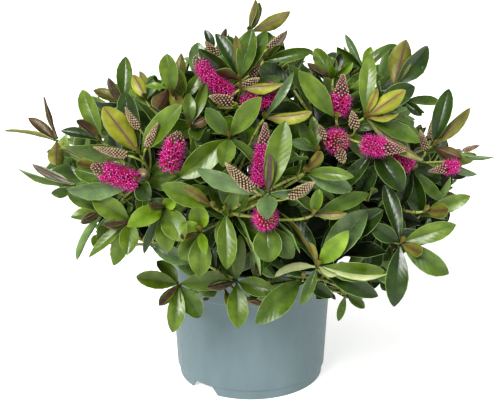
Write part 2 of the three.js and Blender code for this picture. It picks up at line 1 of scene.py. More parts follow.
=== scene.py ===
"""A flowering hebe shrub in a three-litre nursery pot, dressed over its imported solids.

Sizes are in millimetres until a mesh is made from them, and in metres from there on. The
origin is the middle of the pot's flat underside, +Z is up, and the front of the plant
looks along -Y. Places in the crown are given from the crown's centre: a bearing round the
plant (0 at the front, 90 at +X), a rise above the level, and a reach from the centre.
"""

from __future__ import annotations

import logging
import math
from dataclasses import dataclass, field, replace
from enum import Enum
from typing import Any, Iterator, Sequence

import bpy
import numpy as np
from mathutils import Matrix, Vector, noise
from mathutils.bvhtree import BVHTree

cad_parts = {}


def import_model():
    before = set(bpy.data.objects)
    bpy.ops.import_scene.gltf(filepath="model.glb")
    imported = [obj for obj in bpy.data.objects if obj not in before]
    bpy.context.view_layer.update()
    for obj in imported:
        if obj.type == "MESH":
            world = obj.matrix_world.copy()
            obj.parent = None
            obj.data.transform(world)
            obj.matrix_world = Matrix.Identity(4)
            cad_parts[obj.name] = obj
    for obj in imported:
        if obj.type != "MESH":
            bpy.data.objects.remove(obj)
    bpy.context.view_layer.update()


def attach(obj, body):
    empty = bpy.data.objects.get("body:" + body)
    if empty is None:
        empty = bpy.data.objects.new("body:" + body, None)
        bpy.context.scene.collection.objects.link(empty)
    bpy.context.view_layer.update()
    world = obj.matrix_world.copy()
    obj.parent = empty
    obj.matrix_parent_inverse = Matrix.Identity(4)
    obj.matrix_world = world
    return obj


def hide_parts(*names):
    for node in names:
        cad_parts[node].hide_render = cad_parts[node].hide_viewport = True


Array = np.ndarray
Socket = bpy.types.NodeSocket
Tree = bpy.types.NodeTree

LOG = logging.getLogger("hebe")
MM = 0.001  # metres in a millimetre
DEGREE = math.pi / 180
GOLDEN_TURN = 137.508  # degrees from one shoot, or floret, to the next


# ---------------------------------------------------------------- numbers and directions


class SeededRandom:
    """Repeatable random numbers, the same as the part's source draws from a seed."""

    MASK = 0xFFFFFFFF

    def __init__(self, seed: int) -> None:
        """Start the row of numbers.

        Args:
            seed: Any whole number; each gives its own row.
        """
        self._state = seed & self.MASK

    def draw(self) -> float:
        """The next number from 0 to 1."""
        self._state = (self._state + 0x6D2B79F5) & self.MASK
        state = self._state
        mixed = ((state ^ (state >> 15)) * (state | 1)) & self.MASK
        mixed ^= (mixed + (((mixed ^ (mixed >> 7)) * (mixed | 61)) & self.MASK)) & self.MASK
        return ((mixed ^ (mixed >> 14)) & self.MASK) / 4294967296

    def either_way(self, most: float) -> float:
        """The next number from -most to most."""
        return most * (2 * self.draw() - 1)

    def between(self, least: float, most: float) -> float:
        """The next number from least to most."""
        return least + (most - least) * self.draw()

    def pick(self, options: Sequence[Any]) -> Any:
        """One of the options, all as likely."""
        return options[min(int(self.draw() * len(options)), len(options) - 1)]


def unit(vector: Array) -> Array:
    """The vector, or each row of an array of vectors, at length one."""
    return vector / np.linalg.norm(vector, axis=-1, keepdims=True)


def outward(bearing: float, rise: float) -> Array:
    """The direction that points outward at a bearing and a rise, both in degrees."""
    b, r = bearing * DEGREE, rise * DEGREE
    return np.array([math.cos(r) * math.sin(b), -math.cos(r) * math.cos(b), math.sin(r)])


def rightward(bearing: float) -> Array:
    """The direction to the right at a bearing, seen from outside."""
    return outward(bearing + 90, 0)


def upward(bearing: float, rise: float) -> Array:
    """The direction up the crown at a bearing and a rise."""
    return outward(bearing, rise + 90)


def aside(bearing: float, rise: float, spread: float, turn: float) -> Array:
    """A direction some degrees away from another one.

    Args:
        bearing: Bearing of the direction to start from, in degrees.
        rise: Its rise, in degrees.
        spread: How far to turn away from it, in degrees.
        turn: Which way, in degrees clockwise from up.

    Returns:
        The direction at length one.
    """
    away = math.tan(spread * DEGREE)
    up = upward(bearing, rise) * away * math.cos(turn * DEGREE)
    right = rightward(bearing) * away * math.sin(turn * DEGREE)
    return unit(outward(bearing, rise) + up + right)


def square_to(ahead: Array) -> tuple[Array, Array]:
    """Two directions square to each other and to a shoot: the level one and the other."""
    level = unit(np.array([ahead[1], -ahead[0], 0.001]))
    return level, np.cross(level, ahead)


def rotated(vectors: Array, axis: Array, angle: float) -> Array:
    """Vectors turned about an axis of length one, by an angle in radians."""
    turn = math.cos(angle) * vectors + math.sin(angle) * np.cross(axis, vectors)
    return turn + (1 - math.cos(angle)) * np.sum(vectors * axis, axis=-1, keepdims=True) * axis


def bases(ahead: Array) -> Array:
    """Frames for many directions.

    Args:
        ahead: Directions of length one, (N, 3).

    Returns:
        (N, 3, 3): for each, two directions square to it, and then itself.
    """
    helper = np.where(np.abs(ahead[:, 2:3]) > 0.9, [[1.0, 0.0, 0.0]], [[0.0, 0.0, 1.0]])
    side = unit(np.cross(helper, ahead))
    return np.stack([side, np.cross(ahead, side), ahead], axis=1)


def around(frames: Array, angles: Array) -> Array:
    """Directions square to the last one of each frame, at an angle round it in radians."""
    return np.cos(angles)[:, None] * frames[:, 0] + np.sin(angles)[:, None] * frames[:, 1]


class Curve:
    """A Bezier curve that is measured along its own length."""

    DIVISIONS = 200

    def __init__(self, *controls: Array) -> None:
        """Measure the curve.

        Args:
            controls: Its three or four control points.
        """
        self._controls = np.array(controls, dtype=float)
        self._ways = np.linspace(0, 1, self.DIVISIONS + 1)
        chords = np.diff(self._bezier(self._controls, self._ways), axis=0)
        self._lengths = np.concatenate([[0], np.cumsum(np.linalg.norm(chords, axis=1))])

    @property
    def length(self) -> float:
        """Length along the curve."""
        return float(self._lengths[-1])

    @staticmethod
    def _bezier(controls: Array, ways: Array) -> Array:
        """Points of the curve with the given controls."""
        level = np.repeat(controls[:, None, :], len(ways), axis=1)
        way = ways[None, :, None]
        while len(level) > 1:
            level = (1 - way) * level[:-1] + way * level[1:]
        return level[0]

    def _ways_at(self, along: Array) -> Array:
        """The Bezier parameter at shares of the length."""
        return np.interp(np.asarray(along) * self.length, self._lengths, self._ways)

    def points(self, along: Array) -> Array:
        """Places on the curve at shares of its length."""
        return self._bezier(self._controls, self._ways_at(along))

    def tangents(self, along: Array) -> Array:
        """Directions of the curve at shares of its length."""
        return unit(self._bezier(np.diff(self._controls, axis=0), self._ways_at(along)))

    def point(self, along: float) -> Array:
        """The place at one share of the length."""
        return self.points(np.array([along]))[0]

    def tangent(self, along: float) -> Array:
        """The direction at one share of the length."""
        return self.tangents(np.array([along]))[0]


# ---------------------------------------------------------------- meshes


@dataclass(frozen=True)
class Shape:
    """The faces of a small closed form that is repeated at many places.

    Rows and columns say where each face lies on the form: its row counts up the form, and
    its column round it. A cap has column -1.
    """

    corners: Array
    sizes: Array
    rows: Array
    columns: Array
    points: Array | None = None


def stack(rings: int, sides: int, points: Array | None = None) -> Shape:
    """A closed form made of rings of points, one above another.

    Args:
        rings: How many rings there are.
        sides: How many points each ring has, anticlockwise seen from ahead.
        points: The points themselves, where they are always the same.

    Returns:
        The form's faces: a band of quads between neighbouring rings, and two caps.
    """
    row, column = np.meshgrid(np.arange(rings - 1), np.arange(sides), indexing="ij")
    row, column = row.ravel(), column.ravel()
    after = (column + 1) % sides
    low, high = row * sides, (row + 1) * sides
    quads = np.stack([low + column, low + after, high + after, high + column], axis=1)
    caps = [np.arange(sides)[::-1], (rings - 1) * sides + np.arange(sides)]
    return Shape(
        corners=np.concatenate([quads.ravel(), *caps]),
        sizes=np.concatenate([np.full(len(quads), 4), [sides, sides]]),
        rows=np.concatenate([row, [0, rings - 2]]),
        columns=np.concatenate([column, [-1, -1]]),
        points=points,
    )


def lathe(profile: Sequence[tuple[float, float]], sides: int) -> Shape:
    """A closed form turned about the Z axis.

    Args:
        profile: Radius and height of each ring, in order.
        sides: How many points each ring has.

    Returns:
        The form, with its points.
    """
    angles = np.arange(sides) * 2 * math.pi / sides
    radii, heights = np.array(profile).T
    ring = np.stack([np.cos(angles), np.sin(angles)], axis=1)
    flat = radii[:, None, None] * ring[None]
    high = np.repeat(heights[:, None, None], sides, axis=1)
    return stack(len(profile), sides, np.concatenate([flat, high], axis=2).reshape(-1, 3))


class MeshMaker:
    """Gathers the faces of many small forms and makes one mesh of them."""

    def __init__(self) -> None:
        """Start with no faces."""
        self._points: list[Array] = []
        self._corners: list[Array] = []
        self._sizes: list[Array] = []
        self._slots: list[Array] = []
        self._places: list[Array] = []
        self._count = 0

    def add(self, shape: Shape, points: Array, slots: Array, places: Array | None = None) -> None:
        """Add one form at many places.

        Args:
            shape: The form's faces.
            points: Its points at each place, (N, P, 3), in millimetres.
            slots: Material slot of each face, (N, F) or (F,), or one number for all.
            places: Where each point lies on its surface, (N, P, 2), in millimetres.
        """
        copies, each = points.shape[:2]
        starts = self._count + each * np.arange(copies)
        self._points.append(points.reshape(-1, 3))
        self._corners.append((shape.corners[None] + starts[:, None]).ravel())
        self._sizes.append(np.tile(shape.sizes, copies))
        self._slots.append(np.broadcast_to(slots, (copies, len(shape.sizes))).ravel())
        flat = np.zeros((copies, each, 2)) if places is None else places
        self._places.append(flat.reshape(-1, 2))
        self._count += copies * each

    def triangles(self) -> int:
        """How many triangles the mesh has."""
        return int(sum(np.sum(sizes - 2) for sizes in self._sizes))

    def make(self, name: str, materials: Sequence[bpy.types.Material]) -> bpy.types.Object:
        """Make the mesh and put it in the scene.

        Args:
            name: Name of the new object.
            materials: Its materials, in the order of the slots.

        Returns:
            The object, at the origin, with smooth faces.
        """
        points = np.concatenate(self._points) * MM
        corners = np.concatenate(self._corners).astype(np.int32)
        sizes = np.concatenate(self._sizes).astype(np.int32)
        mesh = bpy.data.meshes.new(name)
        mesh.vertices.add(len(points))
        mesh.vertices.foreach_set("co", points.astype(np.float32).ravel())
        mesh.loops.add(len(corners))
        mesh.loops.foreach_set("vertex_index", corners)
        mesh.polygons.add(len(sizes))
        starts = np.concatenate([[0], np.cumsum(sizes)[:-1]]).astype(np.int32)
        mesh.polygons.foreach_set("loop_start", starts)
        mesh.polygons.foreach_set("material_index", np.concatenate(self._slots).astype(np.int32))
        for material in materials:
            mesh.materials.append(material)
        mesh.update(calc_edges=True)
        layer = mesh.uv_layers.new(name="surface")
        uvs = (np.concatenate(self._places) * MM)[corners]
        layer.data.foreach_set("uv", uvs.astype(np.float32).ravel())
        mesh.shade_smooth()
        return in_scene(bpy.data.objects.new(name, mesh))


def in_scene(thing: bpy.types.Object) -> bpy.types.Object:
    """Link an object to the scene and return it."""
    bpy.context.scene.collection.objects.link(thing)
    return thing


def tube(curve: Curve, along: Array, radii: Array, sides: int, relief: Array | None = None) -> Array:
    """Points of a limb round a curve.

    Args:
        curve: The limb's middle line.
        along: Shares of its length at which there is a ring.
        radii: Radius of each ring.
        sides: How many points each ring has.
        relief: Height of the surface over the radius at each point, (rings, sides).

    Returns:
        The points, (rings * sides, 3).
    """
    ahead = curve.tangents(along)
    start = ahead[0]
    reference = np.array([0.0, 0.0, 1.0]) if start[1] ** 2 > 0.5 else np.array([0.0, 1.0, 0.0])
    side = unit(np.cross(reference[None], ahead))
    other = np.cross(ahead, side)
    angles = np.arange(sides) * 2 * math.pi / sides
    radius = np.broadcast_to(np.asarray(radii)[:, None], (len(along), sides))
    if relief is not None:
        radius = radius + relief
    cos, sin = np.cos(angles)[None, :, None], np.sin(angles)[None, :, None]
    spoke = side[:, None] * cos + other[:, None] * sin
    return (curve.points(along)[:, None] + spoke * radius[..., None]).reshape(-1, 3)


def placed(shape: Shape, frames: Array, places: Array, scales: Array | None = None) -> Array:
    """A shape's points set down at many places.

    Args:
        shape: A shape with points; its +Z goes along each frame's last direction.
        frames: (N, 3, 3) from bases().
        places: (N, 3).
        scales: Size at each place, (N,), or one for each direction, (N, 3).

    Returns:
        The points, (N, P, 3).
    """
    points = np.repeat(shape.points[None], len(places), axis=0)
    if scales is not None:
        points = points * (scales[:, None, None] if scales.ndim == 1 else scales[:, None])
    return np.einsum("npk,nkj->npj", points, frames) + places[:, None]


def combined(base: bpy.types.Object, tools: Sequence[bpy.types.Object], operation: str) -> None:
    """Join other closed meshes to a base, or cut them from it, and remove them.

    Args:
        base: The object that changes.
        tools: The objects that are joined or cut.
        operation: UNION or DIFFERENCE.
    """
    for tool in tools:
        change = base.modifiers.new("combined", "BOOLEAN")
        change.operation = operation
        change.solver = "EXACT"
        change.object = tool
        graph = bpy.context.evaluated_depsgraph_get()
        old = base.data
        name = old.name
        new = bpy.data.meshes.new_from_object(base.evaluated_get(graph))
        base.modifiers.clear()
        base.data = new
        bpy.data.meshes.remove(old)
        new.name = name
        bpy.data.objects.remove(tool)


# ---------------------------------------------------------------- materials


def linear(colour: str) -> tuple[float, float, float, float]:
    """An sRGB hex colour as the linear values that a shader takes."""

    def channel(value: int) -> float:
        share = value / 255
        return share / 12.92 if share <= 0.04045 else ((share + 0.055) / 1.055) ** 2.4

    red, green, blue = (channel(int(colour[i : i + 2], 16)) for i in (1, 3, 5))
    return red, green, blue, 1.0


def add_node(
    tree: Tree,
    kind: str,
    values: dict[Any, Any] | None = None,
    links: dict[Any, Socket] | None = None,
    stops: Sequence[tuple[float, str]] = (),
    **settings: Any,
) -> bpy.types.Node:
    """Add a node with its settings and links.

    Args:
        tree: The tree to add it to.
        kind: Blender's name for the kind of node.
        values: Values of its input sockets, by name or number.
        links: Sockets to join to its inputs, by name or number.
        stops: Where each colour of a colour ramp stands, and the colour as sRGB hex.
        settings: The node's own properties.

    Returns:
        The node.
    """
    node = tree.nodes.new(kind)
    for name, value in settings.items():
        setattr(node, name, value)
    for name, value in (values or {}).items():
        node.inputs[name].default_value = value
    for name, socket in (links or {}).items():
        tree.links.new(socket, node.inputs[name])
    for _ in stops[2:]:
        node.color_ramp.elements.new(0.5)
    for element, (position, colour) in zip(node.color_ramp.elements if stops else (), stops):
        element.position = position
        element.color = linear(colour)
    return node


def range_values(least: float, most: float, low: float, high: float) -> dict[str, float]:
    """Values of a node that spreads a pattern's range, least to most, over low to high."""
    return {"From Min": least, "From Max": most, "To Min": low, "To Max": high}


def cloud(
    tree: Tree, size_mm: float, detail: float = 3.0, stretch: Sequence[float] = (1, 1, 1)
) -> Socket:
    """A soft random pattern over the object.

    Args:
        tree: The material's tree.
        size_mm: Width of its larger patches.
        detail: How many finer layers it has.
        stretch: How much finer it is along each axis.

    Returns:
        The pattern's output socket, from 0 to 1 and mostly between 0.3 and 0.7.
    """
    place = add_node(tree, "ShaderNodeTexCoord").outputs["Object"]
    drawn_out = add_node(tree, "ShaderNodeMapping", {"Scale": tuple(stretch)}, {"Vector": place})
    values = {"Scale": 1 / (size_mm * MM), "Detail": detail, "Roughness": 0.55}
    return add_node(tree, "ShaderNodeTexNoise", values, {"Vector": drawn_out.outputs[0]}).outputs["Fac"]


@dataclass(frozen=True)
class Finish:
    """What a surface is made of: one pattern deals out its colours, others its gloss and relief."""

    name: str
    deep: str
    mid: str
    pale: str

    MOSTLY = (0.3, 0.7)  # where most of a pattern lies
    roughness = 0.5
    uneven = (-0.06, 0.08)  # least and most, over the roughness
    patch_mm = 6.0
    detail = 3.0
    stretch = (1, 1, 1)
    stops = (0.32, 0.5, 0.68)  # where its colours stand on the pattern
    gloss_mm = 0.0  # its patches of gloss, or 0 for those of the colour
    patch_depth_mm = 0.0  # how high the colours' own pattern stands
    grains = ((0.8, 2, 0.06),)  # width in mm, detail and depth in mm

    def material(self) -> bpy.types.Material:
        """Make the material."""
        material = bpy.data.materials.new(self.name)
        material.use_nodes = True
        tree = material.node_tree
        shader = tree.nodes["Principled BSDF"]
        patches = cloud(tree, self.patch_mm, self.detail, self.stretch)
        stops = list(zip(self.stops, (self.deep, self.mid, self.pale)))
        tint = add_node(tree, "ShaderNodeValToRGB", links={"Fac": patches}, stops=stops).outputs["Color"]
        glossy, dull = (self.roughness + step for step in self.uneven)
        gloss = {"Value": cloud(tree, self.gloss_mm or self.patch_mm)}
        values = range_values(*self.MOSTLY, glossy, dull)
        rough = add_node(tree, "ShaderNodeMapRange", values, gloss).outputs[0]
        normal: dict[str, Socket] = {}
        for height, depth_mm in self.reliefs(tree, patches):
            values = {"Strength": 1.0, "Distance": depth_mm * MM}
            bump = add_node(tree, "ShaderNodeBump", values, {"Height": height, **normal})
            normal = {"Normal": bump.outputs["Normal"]}
        outputs = {"Base Color": self.tinted(tree, tint), "Roughness": rough, **normal}
        for name, output in outputs.items():
            tree.links.new(output, shader.inputs[name])
        for name, value in self.constants().items():
            shader.inputs[name].default_value = value
        return material

    def tinted(self, tree: Tree, tint: Socket) -> Socket:
        """Its colour, from the one that the pattern deals out."""
        return tint

    def reliefs(self, tree: Tree, patches: Socket) -> list[tuple[Socket, float]]:
        """The patterns that stand up from it, coarsest first, and how high each stands in mm."""
        coarse = [(patches, self.patch_depth_mm)] if self.patch_depth_mm else []
        return coarse + [(cloud(tree, width, detail), depth) for width, detail, depth in self.grains]

    def constants(self) -> dict[str, Any]:
        """Values of the shader's own that are the same all over."""
        return {}


@dataclass(frozen=True)
class LeafBlade(Finish):
    """The face of a leaf: living leaf tissue under a waxy cuticle.

    It gives a smooth satin gloss, clearer on the top face than underneath, small cloudy
    changes of green, a heart of another colour along the midrib, and side veins that run
    forward from it. On an underside the heart is the leaf's own plum flush; on a top it is
    painted shade, darker green in the midrib's crease and towards the base where the leaves meet.
    """

    roughness: float = 0.36
    heart_and_shade: str = "#334b09"
    # The heart: the real plum flush on an underside, painted shade on a top
    specular: float = 0.42
    heart_and_shade_mm: float = 5.0

    uneven = (-0.09, 0.06)
    patch_mm = 14.0
    gloss_mm = 9.0
    grains = ((1.4, 2, 0.05),)
    heart_and_shade_length_mm = 60.0
    vein_depth_mm = 0.022
    vein_spacing_mm = 6.0
    vein_slant = 1.3

    @staticmethod
    def _on_leaf(tree: Tree) -> tuple[Socket, Socket]:
        """How far out from its midrib and how far along its leaf a place lies, in metres."""
        place = add_node(tree, "ShaderNodeUVMap", uv_map="surface").outputs[0]
        parts = add_node(tree, "ShaderNodeSeparateXYZ", links={0: place}).outputs
        out = add_node(tree, "ShaderNodeMath", links={0: parts["X"]}, operation="ABSOLUTE")
        return out.outputs[0], parts["Y"]

    def tinted(self, tree: Tree, tint: Socket) -> Socket:
        """The face's colour with that of its heart, which fades from the midrib and to the tip: a plum
        flush underneath, painted shade on the top.
        """
        out, along = self._on_leaf(tree)
        patterns = (
            (out, range_values(0, self.heart_and_shade_mm * MM, 1, 0)),
            (along, range_values(0, self.heart_and_shade_length_mm * MM, 1, 0.25)),
            (cloud(tree, 5), range_values(*self.MOSTLY, 0.6, 1)),
        )
        share, *others = (
            add_node(tree, "ShaderNodeMapRange", values, {"Value": pattern}).outputs[0]
            for pattern, values in patterns
        )
        for other in others:
            both = {0: share, 1: other}
            share = add_node(tree, "ShaderNodeMath", links=both, operation="MULTIPLY").outputs[0]
        # On a top this darker heart colour is painted shade; on an underside it is the plum flush
        stops = [(0.3, self.heart_and_shade), (0.7, self.heart_and_shade)]
        heart_and_shade = add_node(tree, "ShaderNodeValToRGB", links={"Fac": cloud(tree, 3)}, stops=stops).outputs[0]
        return add_node(tree, "ShaderNodeMixRGB", links={0: share, 1: tint, 2: heart_and_shade}).outputs[0]

    def reliefs(self, tree: Tree, patches: Socket) -> list[tuple[Socket, float]]:
        """Veins that run forward from the midrib at a slant, under the fine grain."""
        out, along = self._on_leaf(tree)
        turn = 2 * math.pi / (self.vein_spacing_mm * MM)  # one wave of the sine for each vein
        back = add_node(tree, "ShaderNodeMath", {1: self.vein_slant}, {0: out}, operation="MULTIPLY")
        both = {0: along, 1: back.outputs[0]}
        slant = add_node(tree, "ShaderNodeMath", links=both, operation="SUBTRACT")
        angle = add_node(tree, "ShaderNodeMath", {1: turn}, {0: slant.outputs[0]}, operation="MULTIPLY")
        veins = add_node(tree, "ShaderNodeMath", links={0: angle.outputs[0]}, operation="SINE")
        return [(veins.outputs[0], self.vein_depth_mm), *super().reliefs(tree, patches)]

    def constants(self) -> dict[str, Any]:
        """The cuticle's shine."""
        return {"Specular IOR Level": self.specular}


@dataclass(frozen=True)
class PlantTissue(Finish):
    """Soft plant tissue with no veins: a stem, midrib, bud scale or petal.

    It gives a satin skin with a fine grain and small changes of colour along it.
    """

    roughness: float = 0.5
    patch_mm: float = 6.0


@dataclass(frozen=True)
class Bark(Finish):
    """Young woody bark: dry, matt and finely split along the limb.

    It gives a dull grey-brown surface with darker cracks and paler ridges.
    """

    patch_mm: float = 2.2

    roughness = 0.83
    uneven = (-0.09, 0.09)
    detail = 4.0
    stretch = (1, 1, 0.3)
    stops = (0.35, 0.5, 0.7)
    gloss_mm = 5.0
    patch_depth_mm = 0.5
    grains = ((0.6, 2, 0.08),)


@dataclass(frozen=True)
class MouldedPlastic(Finish):
    """Thin polypropylene, coloured in the mass and moulded against a matt tool.

    It gives an even satin surface with a very fine grain, faint flow streaks that run up
    the wall, and slight scuffs where pots have rubbed together. The real tool grain is
    about 0.1 mm, too fine to show, so it is as coarse as it needs.
    """

    roughness = 0.49
    uneven = (-0.07, 0.07)
    patch_mm = 30.0
    stretch = (1, 1, 0.3)
    stops = (0.3, 0.5, 0.72)
    gloss_mm = 6.0
    grains = ((40.0, 1, 0.12), (0.9, 2, 0.06))


@dataclass(frozen=True)
class PottingCompost(Finish):
    """Milled peat and composted bark: dark, damp and crumbly.

    It gives a matt near-black brown with paler dry flecks.
    """

    roughness = 0.92
    uneven = (-0.06, 0.06)
    patch_mm = 3.5
    detail = 5.0
    stops = (0.35, 0.55, 0.75)
    gloss_mm = 5.0
    patch_depth_mm = 1.2
    grains = ((0.8, 2, 0.2),)


@dataclass(frozen=True)
class StudioPaper(Finish):
    """Seamless background paper: white, matt and very slightly uneven in tone."""

    roughness = 0.92
    uneven = (-0.04, 0.03)
    patch_mm = 600.0
    stops = (0.3, 0.5, 0.7)
    gloss_mm = 300.0
    grains = ((2.0, 3, 0.02),)

    def constants(self) -> dict[str, Any]:
        """A little light of its own, which keeps the surround white."""
        return {"Emission Color": linear("#ffffff"), "Emission Strength": 0.5}


class Tissue(Enum):
    """The material slots that all leaves share. The value is the finish of each."""

    # The tops from lime to deep green are young to old leaves, and are also dealt as painted light and
    # shade: the darker ones to shaded leaves, the paler ones to lit leaves
    TOP_LIME = LeafBlade("leaf_top_waxed_lime", "#607b17", "#728c23", "#85a033", 0.36, "#466409")
    TOP_FRESH = LeafBlade("leaf_top_waxed_fresh_green", "#455c11", "#55691a", "#677d28", 0.34, "#334b09")
    TOP_MID = LeafBlade("leaf_top_waxed_mid_green", "#384f0e", "#465c19", "#566d24", 0.31, "#293f09")
    TOP_GROWN = LeafBlade("leaf_top_waxed_grown_green", "#1e3008", "#273d0d", "#334b13", 0.3, "#162505")
    TOP_DEEP = LeafBlade(
        "leaf_top_waxed_deep_green", "#0e1808", "#141f0b", "#1b280f", 0.34, "#0b1405", 0.26
    )
    TOP_SAGE = LeafBlade("leaf_top_waxed_grey_green", "#4b6037", "#5b7145", "#6e8456", 0.3, "#3b502d")
    UNDER_YOUNG = LeafBlade(
        "leaf_underside_young_olive", "#585b1f", "#6b6b29", "#7f7c38", 0.42, "#4a2c22", 0.3, 3.6
    )
    UNDER_YELLOW = LeafBlade(
        "leaf_underside_young_yellow", "#7a7e24", "#8e9130", "#a0a23e", 0.42, "#62353a", 0.3, 3.4
    )
    UNDER_CREAM = LeafBlade("leaf_underside_pale_cream", "#94996c", "#a5a97d", "#b3b58d", 0.5, "#8a9560")
    UNDER_BRONZE = LeafBlade(
        "leaf_underside_young_bronze", "#3e3115", "#50411c", "#635328", 0.42, "#35191b", 0.3, 3.6
    )
    UNDER_SAGE = LeafBlade("leaf_underside_grown_sage", "#5c7540", "#6a834a", "#778f57", 0.52, "#566f3a")
    BUD_PLUM = PlantTissue("leaf_bud_folded_plum", "#3b2a29", "#4b3734", "#5c473b", 0.42)
    RIB_PALE = PlantTissue("leaf_midrib_pale_green", "#5f7f2a", "#6c8c35", "#7b9944", 0.38)
    RIB_PLUM = PlantTissue("leaf_midrib_plum", "#44272f", "#523138", "#623f40", 0.42)
    # The pale edge: the margin's own paler tissue, brightened as a painted highlight along the rim
    MARGIN = PlantTissue("leaf_margin_clear_pale_green", "#68813f", "#77904b", "#889f5a", 0.4)


class Look(Enum):
    """How a leaf of the front looks: its top, its underside and the rib of that."""

    LIME = (Tissue.TOP_LIME, Tissue.UNDER_YOUNG, Tissue.RIB_PALE)
    FRESH = (Tissue.TOP_FRESH, Tissue.UNDER_YOUNG, Tissue.RIB_PALE)
    MID = (Tissue.TOP_MID, Tissue.UNDER_SAGE, Tissue.RIB_PALE)
    GROWN = (Tissue.TOP_GROWN, Tissue.UNDER_SAGE, Tissue.RIB_PALE)
    DEEP = (Tissue.TOP_DEEP, Tissue.UNDER_SAGE, Tissue.RIB_PALE)
    SAGE = (Tissue.TOP_SAGE, Tissue.UNDER_SAGE, Tissue.RIB_PALE)
    OLIVE = (Tissue.TOP_FRESH, Tissue.UNDER_YOUNG, Tissue.RIB_PLUM)
    YELLOW = (Tissue.TOP_LIME, Tissue.UNDER_YELLOW, Tissue.RIB_PLUM)
    BRONZE = (Tissue.TOP_MID, Tissue.UNDER_BRONZE, Tissue.RIB_PLUM)
    CREAM = (Tissue.TOP_FRESH, Tissue.UNDER_CREAM, Tissue.RIB_PALE)
    BUD = (Tissue.TOP_FRESH, Tissue.BUD_PLUM, Tissue.RIB_PLUM)
    TIP = (Tissue.TOP_LIME, Tissue.UNDER_YELLOW, Tissue.RIB_PALE)

    @property
    def folded(self) -> bool:
        """Whether it is a pair of young leaves that are still folded together."""
        return self in (Look.BUD, Look.TIP)


LIME, FRESH, MID, GROWN, DEEP, SAGE, OLIVE, YELLOW, BRONZE, CREAM, BUD, TIP = Look


class StemTissue(Enum):
    """The material slots that all twigs share."""

    GREEN = PlantTissue("twig_bark_green", "#76803a", "#8a9444", "#9aa455")
    NODE = PlantTissue("twig_joint_plum", "#5c4238", "#6e5443", "#7f6a4b")
    OLD = Bark("twig_bark_ripened_brown", "#4d3a26", "#6b5838", "#837049", 1.6)


class Flower(Enum):
    """The material slots that all blossom shares."""

    DEEP = PlantTissue("petal_deep_crimson_magenta", "#ac0655", "#c20c65", "#d21a76", 0.55, 3)
    MAGENTA = PlantTissue("petal_magenta", "#cb1484", "#da2496", "#e63ea8", 0.55, 3)
    PINK = PlantTissue("petal_bright_pink", "#d543a4", "#e05ab4", "#e976c3", 0.55, 3)
    FILAMENT = PlantTissue("stamen_pink", "#c040a0", "#d05cb0", "#dc7ac2", 0.5, 3)
    ANTHER = PlantTissue("anther_plum", "#5a1540", "#74204f", "#8e3263", 0.6, 2)
    # The axis is dark so that the gaps between flowers and buds look shaded: painted shade
    CORE = PlantTissue("raceme_axis_plum_painted_shade", "#42242a", "#523034", "#633d3f", 0.6, 3)
    BEAD_TIP = PlantTissue("flower_bud_tip_tan", "#887558", "#9f8d6e", "#b7a788", 0.5, 3)
    BEAD_BASE = PlantTissue("flower_bud_base_plum", "#4e3636", "#5f4643", "#705750", 0.5, 3)
    BEAD_PINK = PlantTissue("flower_bud_side_pink", "#a03a6c", "#b65383", "#c97699", 0.5, 3)
    STALK = PlantTissue("flower_stalk_green", "#7d8a3c", "#909c49", "#a3ad5c", 0.5, 4)


def materials_of(slots: type[Enum]) -> list[bpy.types.Material]:
    """The materials of an Enum's slots, in order, made once."""
    made = []
    for slot in slots:
        known = bpy.data.materials.get(slot.value.name)
        made.append(known or slot.value.material())
    return made


def slot_of(member: Enum) -> int:
    """The number of a member's material slot."""
    return list(type(member)).index(member)


# ---------------------------------------------------------------- the crown's layout


@dataclass(frozen=True)
class Mass:
    """One mass of foliage at the end of one bough."""

    name: str
    seed: int
    whorl: float
    bearing: float
    rise: float
    reach: float
    lowest: float

    @property
    def way(self) -> Array:
        """Its direction from the crown's centre."""
        return outward(self.bearing, self.rise)


@dataclass(frozen=True)
class Tier:
    """A tier of masses, on its own whorls of the trunk."""

    name: str
    whorls: tuple[float, ...]
    bearings: tuple[float, ...]
    rises: tuple[float, ...]
    reaches: tuple[float, ...]
    lowest: tuple[float, ...] = ()

    def masses(self, level: int) -> Iterator[Mass]:
        """Its masses. Level is the tier's number, counted from the bottom."""
        single = len(self.bearings) == 1
        for i, bearing in enumerate(self.bearings):
            yield Mass(
                name=self.name if single else f"{self.name}_{i + 1}",
                seed=100 * level + i + 1,
                whorl=self.whorls[i % len(self.whorls)],
                bearing=bearing,
                rise=self.rises[i],
                reach=self.reaches[i],
                lowest=self.lowest[i] if self.lowest else 0,
            )


TIERS = (
    Tier(
        "low",
        (0, 1),
        (24, 66, 110, 156, 202, 250, -58, -16),
        (3, 3, 5, 7, 7, 8, 10, 3),
        (204, 226, 246, 246, 246, 224, 198, 200),
        (-12, -10, -8, -8, -8, 2, 4, -12),
    ),
    Tier(
        "middle",
        (2, 3),
        (-4, 44, 93, 142, 192, 242, -88, -44),
        (32, 31, 23, 30, 30, 30, 25, 32),
        (262, 274, 292, 280, 276, 284, 298, 270),
    ),
    Tier("high", (4, 4.8), (-30, 42, 108, 180, -106), (60, 56, 50, 58, 54), (252, 250, 292, 262, 258)),
    Tier("top", (7,), (30,), (87,), (272,)),
)
MASSES = [mass for level, tier in enumerate(TIERS) for mass in tier.masses(level)]


def nearest_mass(way: Array) -> Mass:
    """The mass whose space a direction falls in."""
    return max(MASSES, key=lambda mass: float(mass.way @ way))


class ShootKind(Enum):
    """Where a shoot stands in the crown."""

    LEADER = "leader"
    SIDE = "side"
    FRONT = "front"
    SPRAY = "spray"
    OUTER = "outer"
    INNER = "inner"


@dataclass
class Shoot:
    """A leafy shoot from its fork to its tip."""

    kind: ShootKind
    mass: Mass
    curve: Curve
    foot_radius: float
    roll: float
    vigour: float

    def place(self, distance: float) -> float:
        """The share of its length at a distance from its tip."""
        return max(0.02, 1 - distance / self.curve.length)


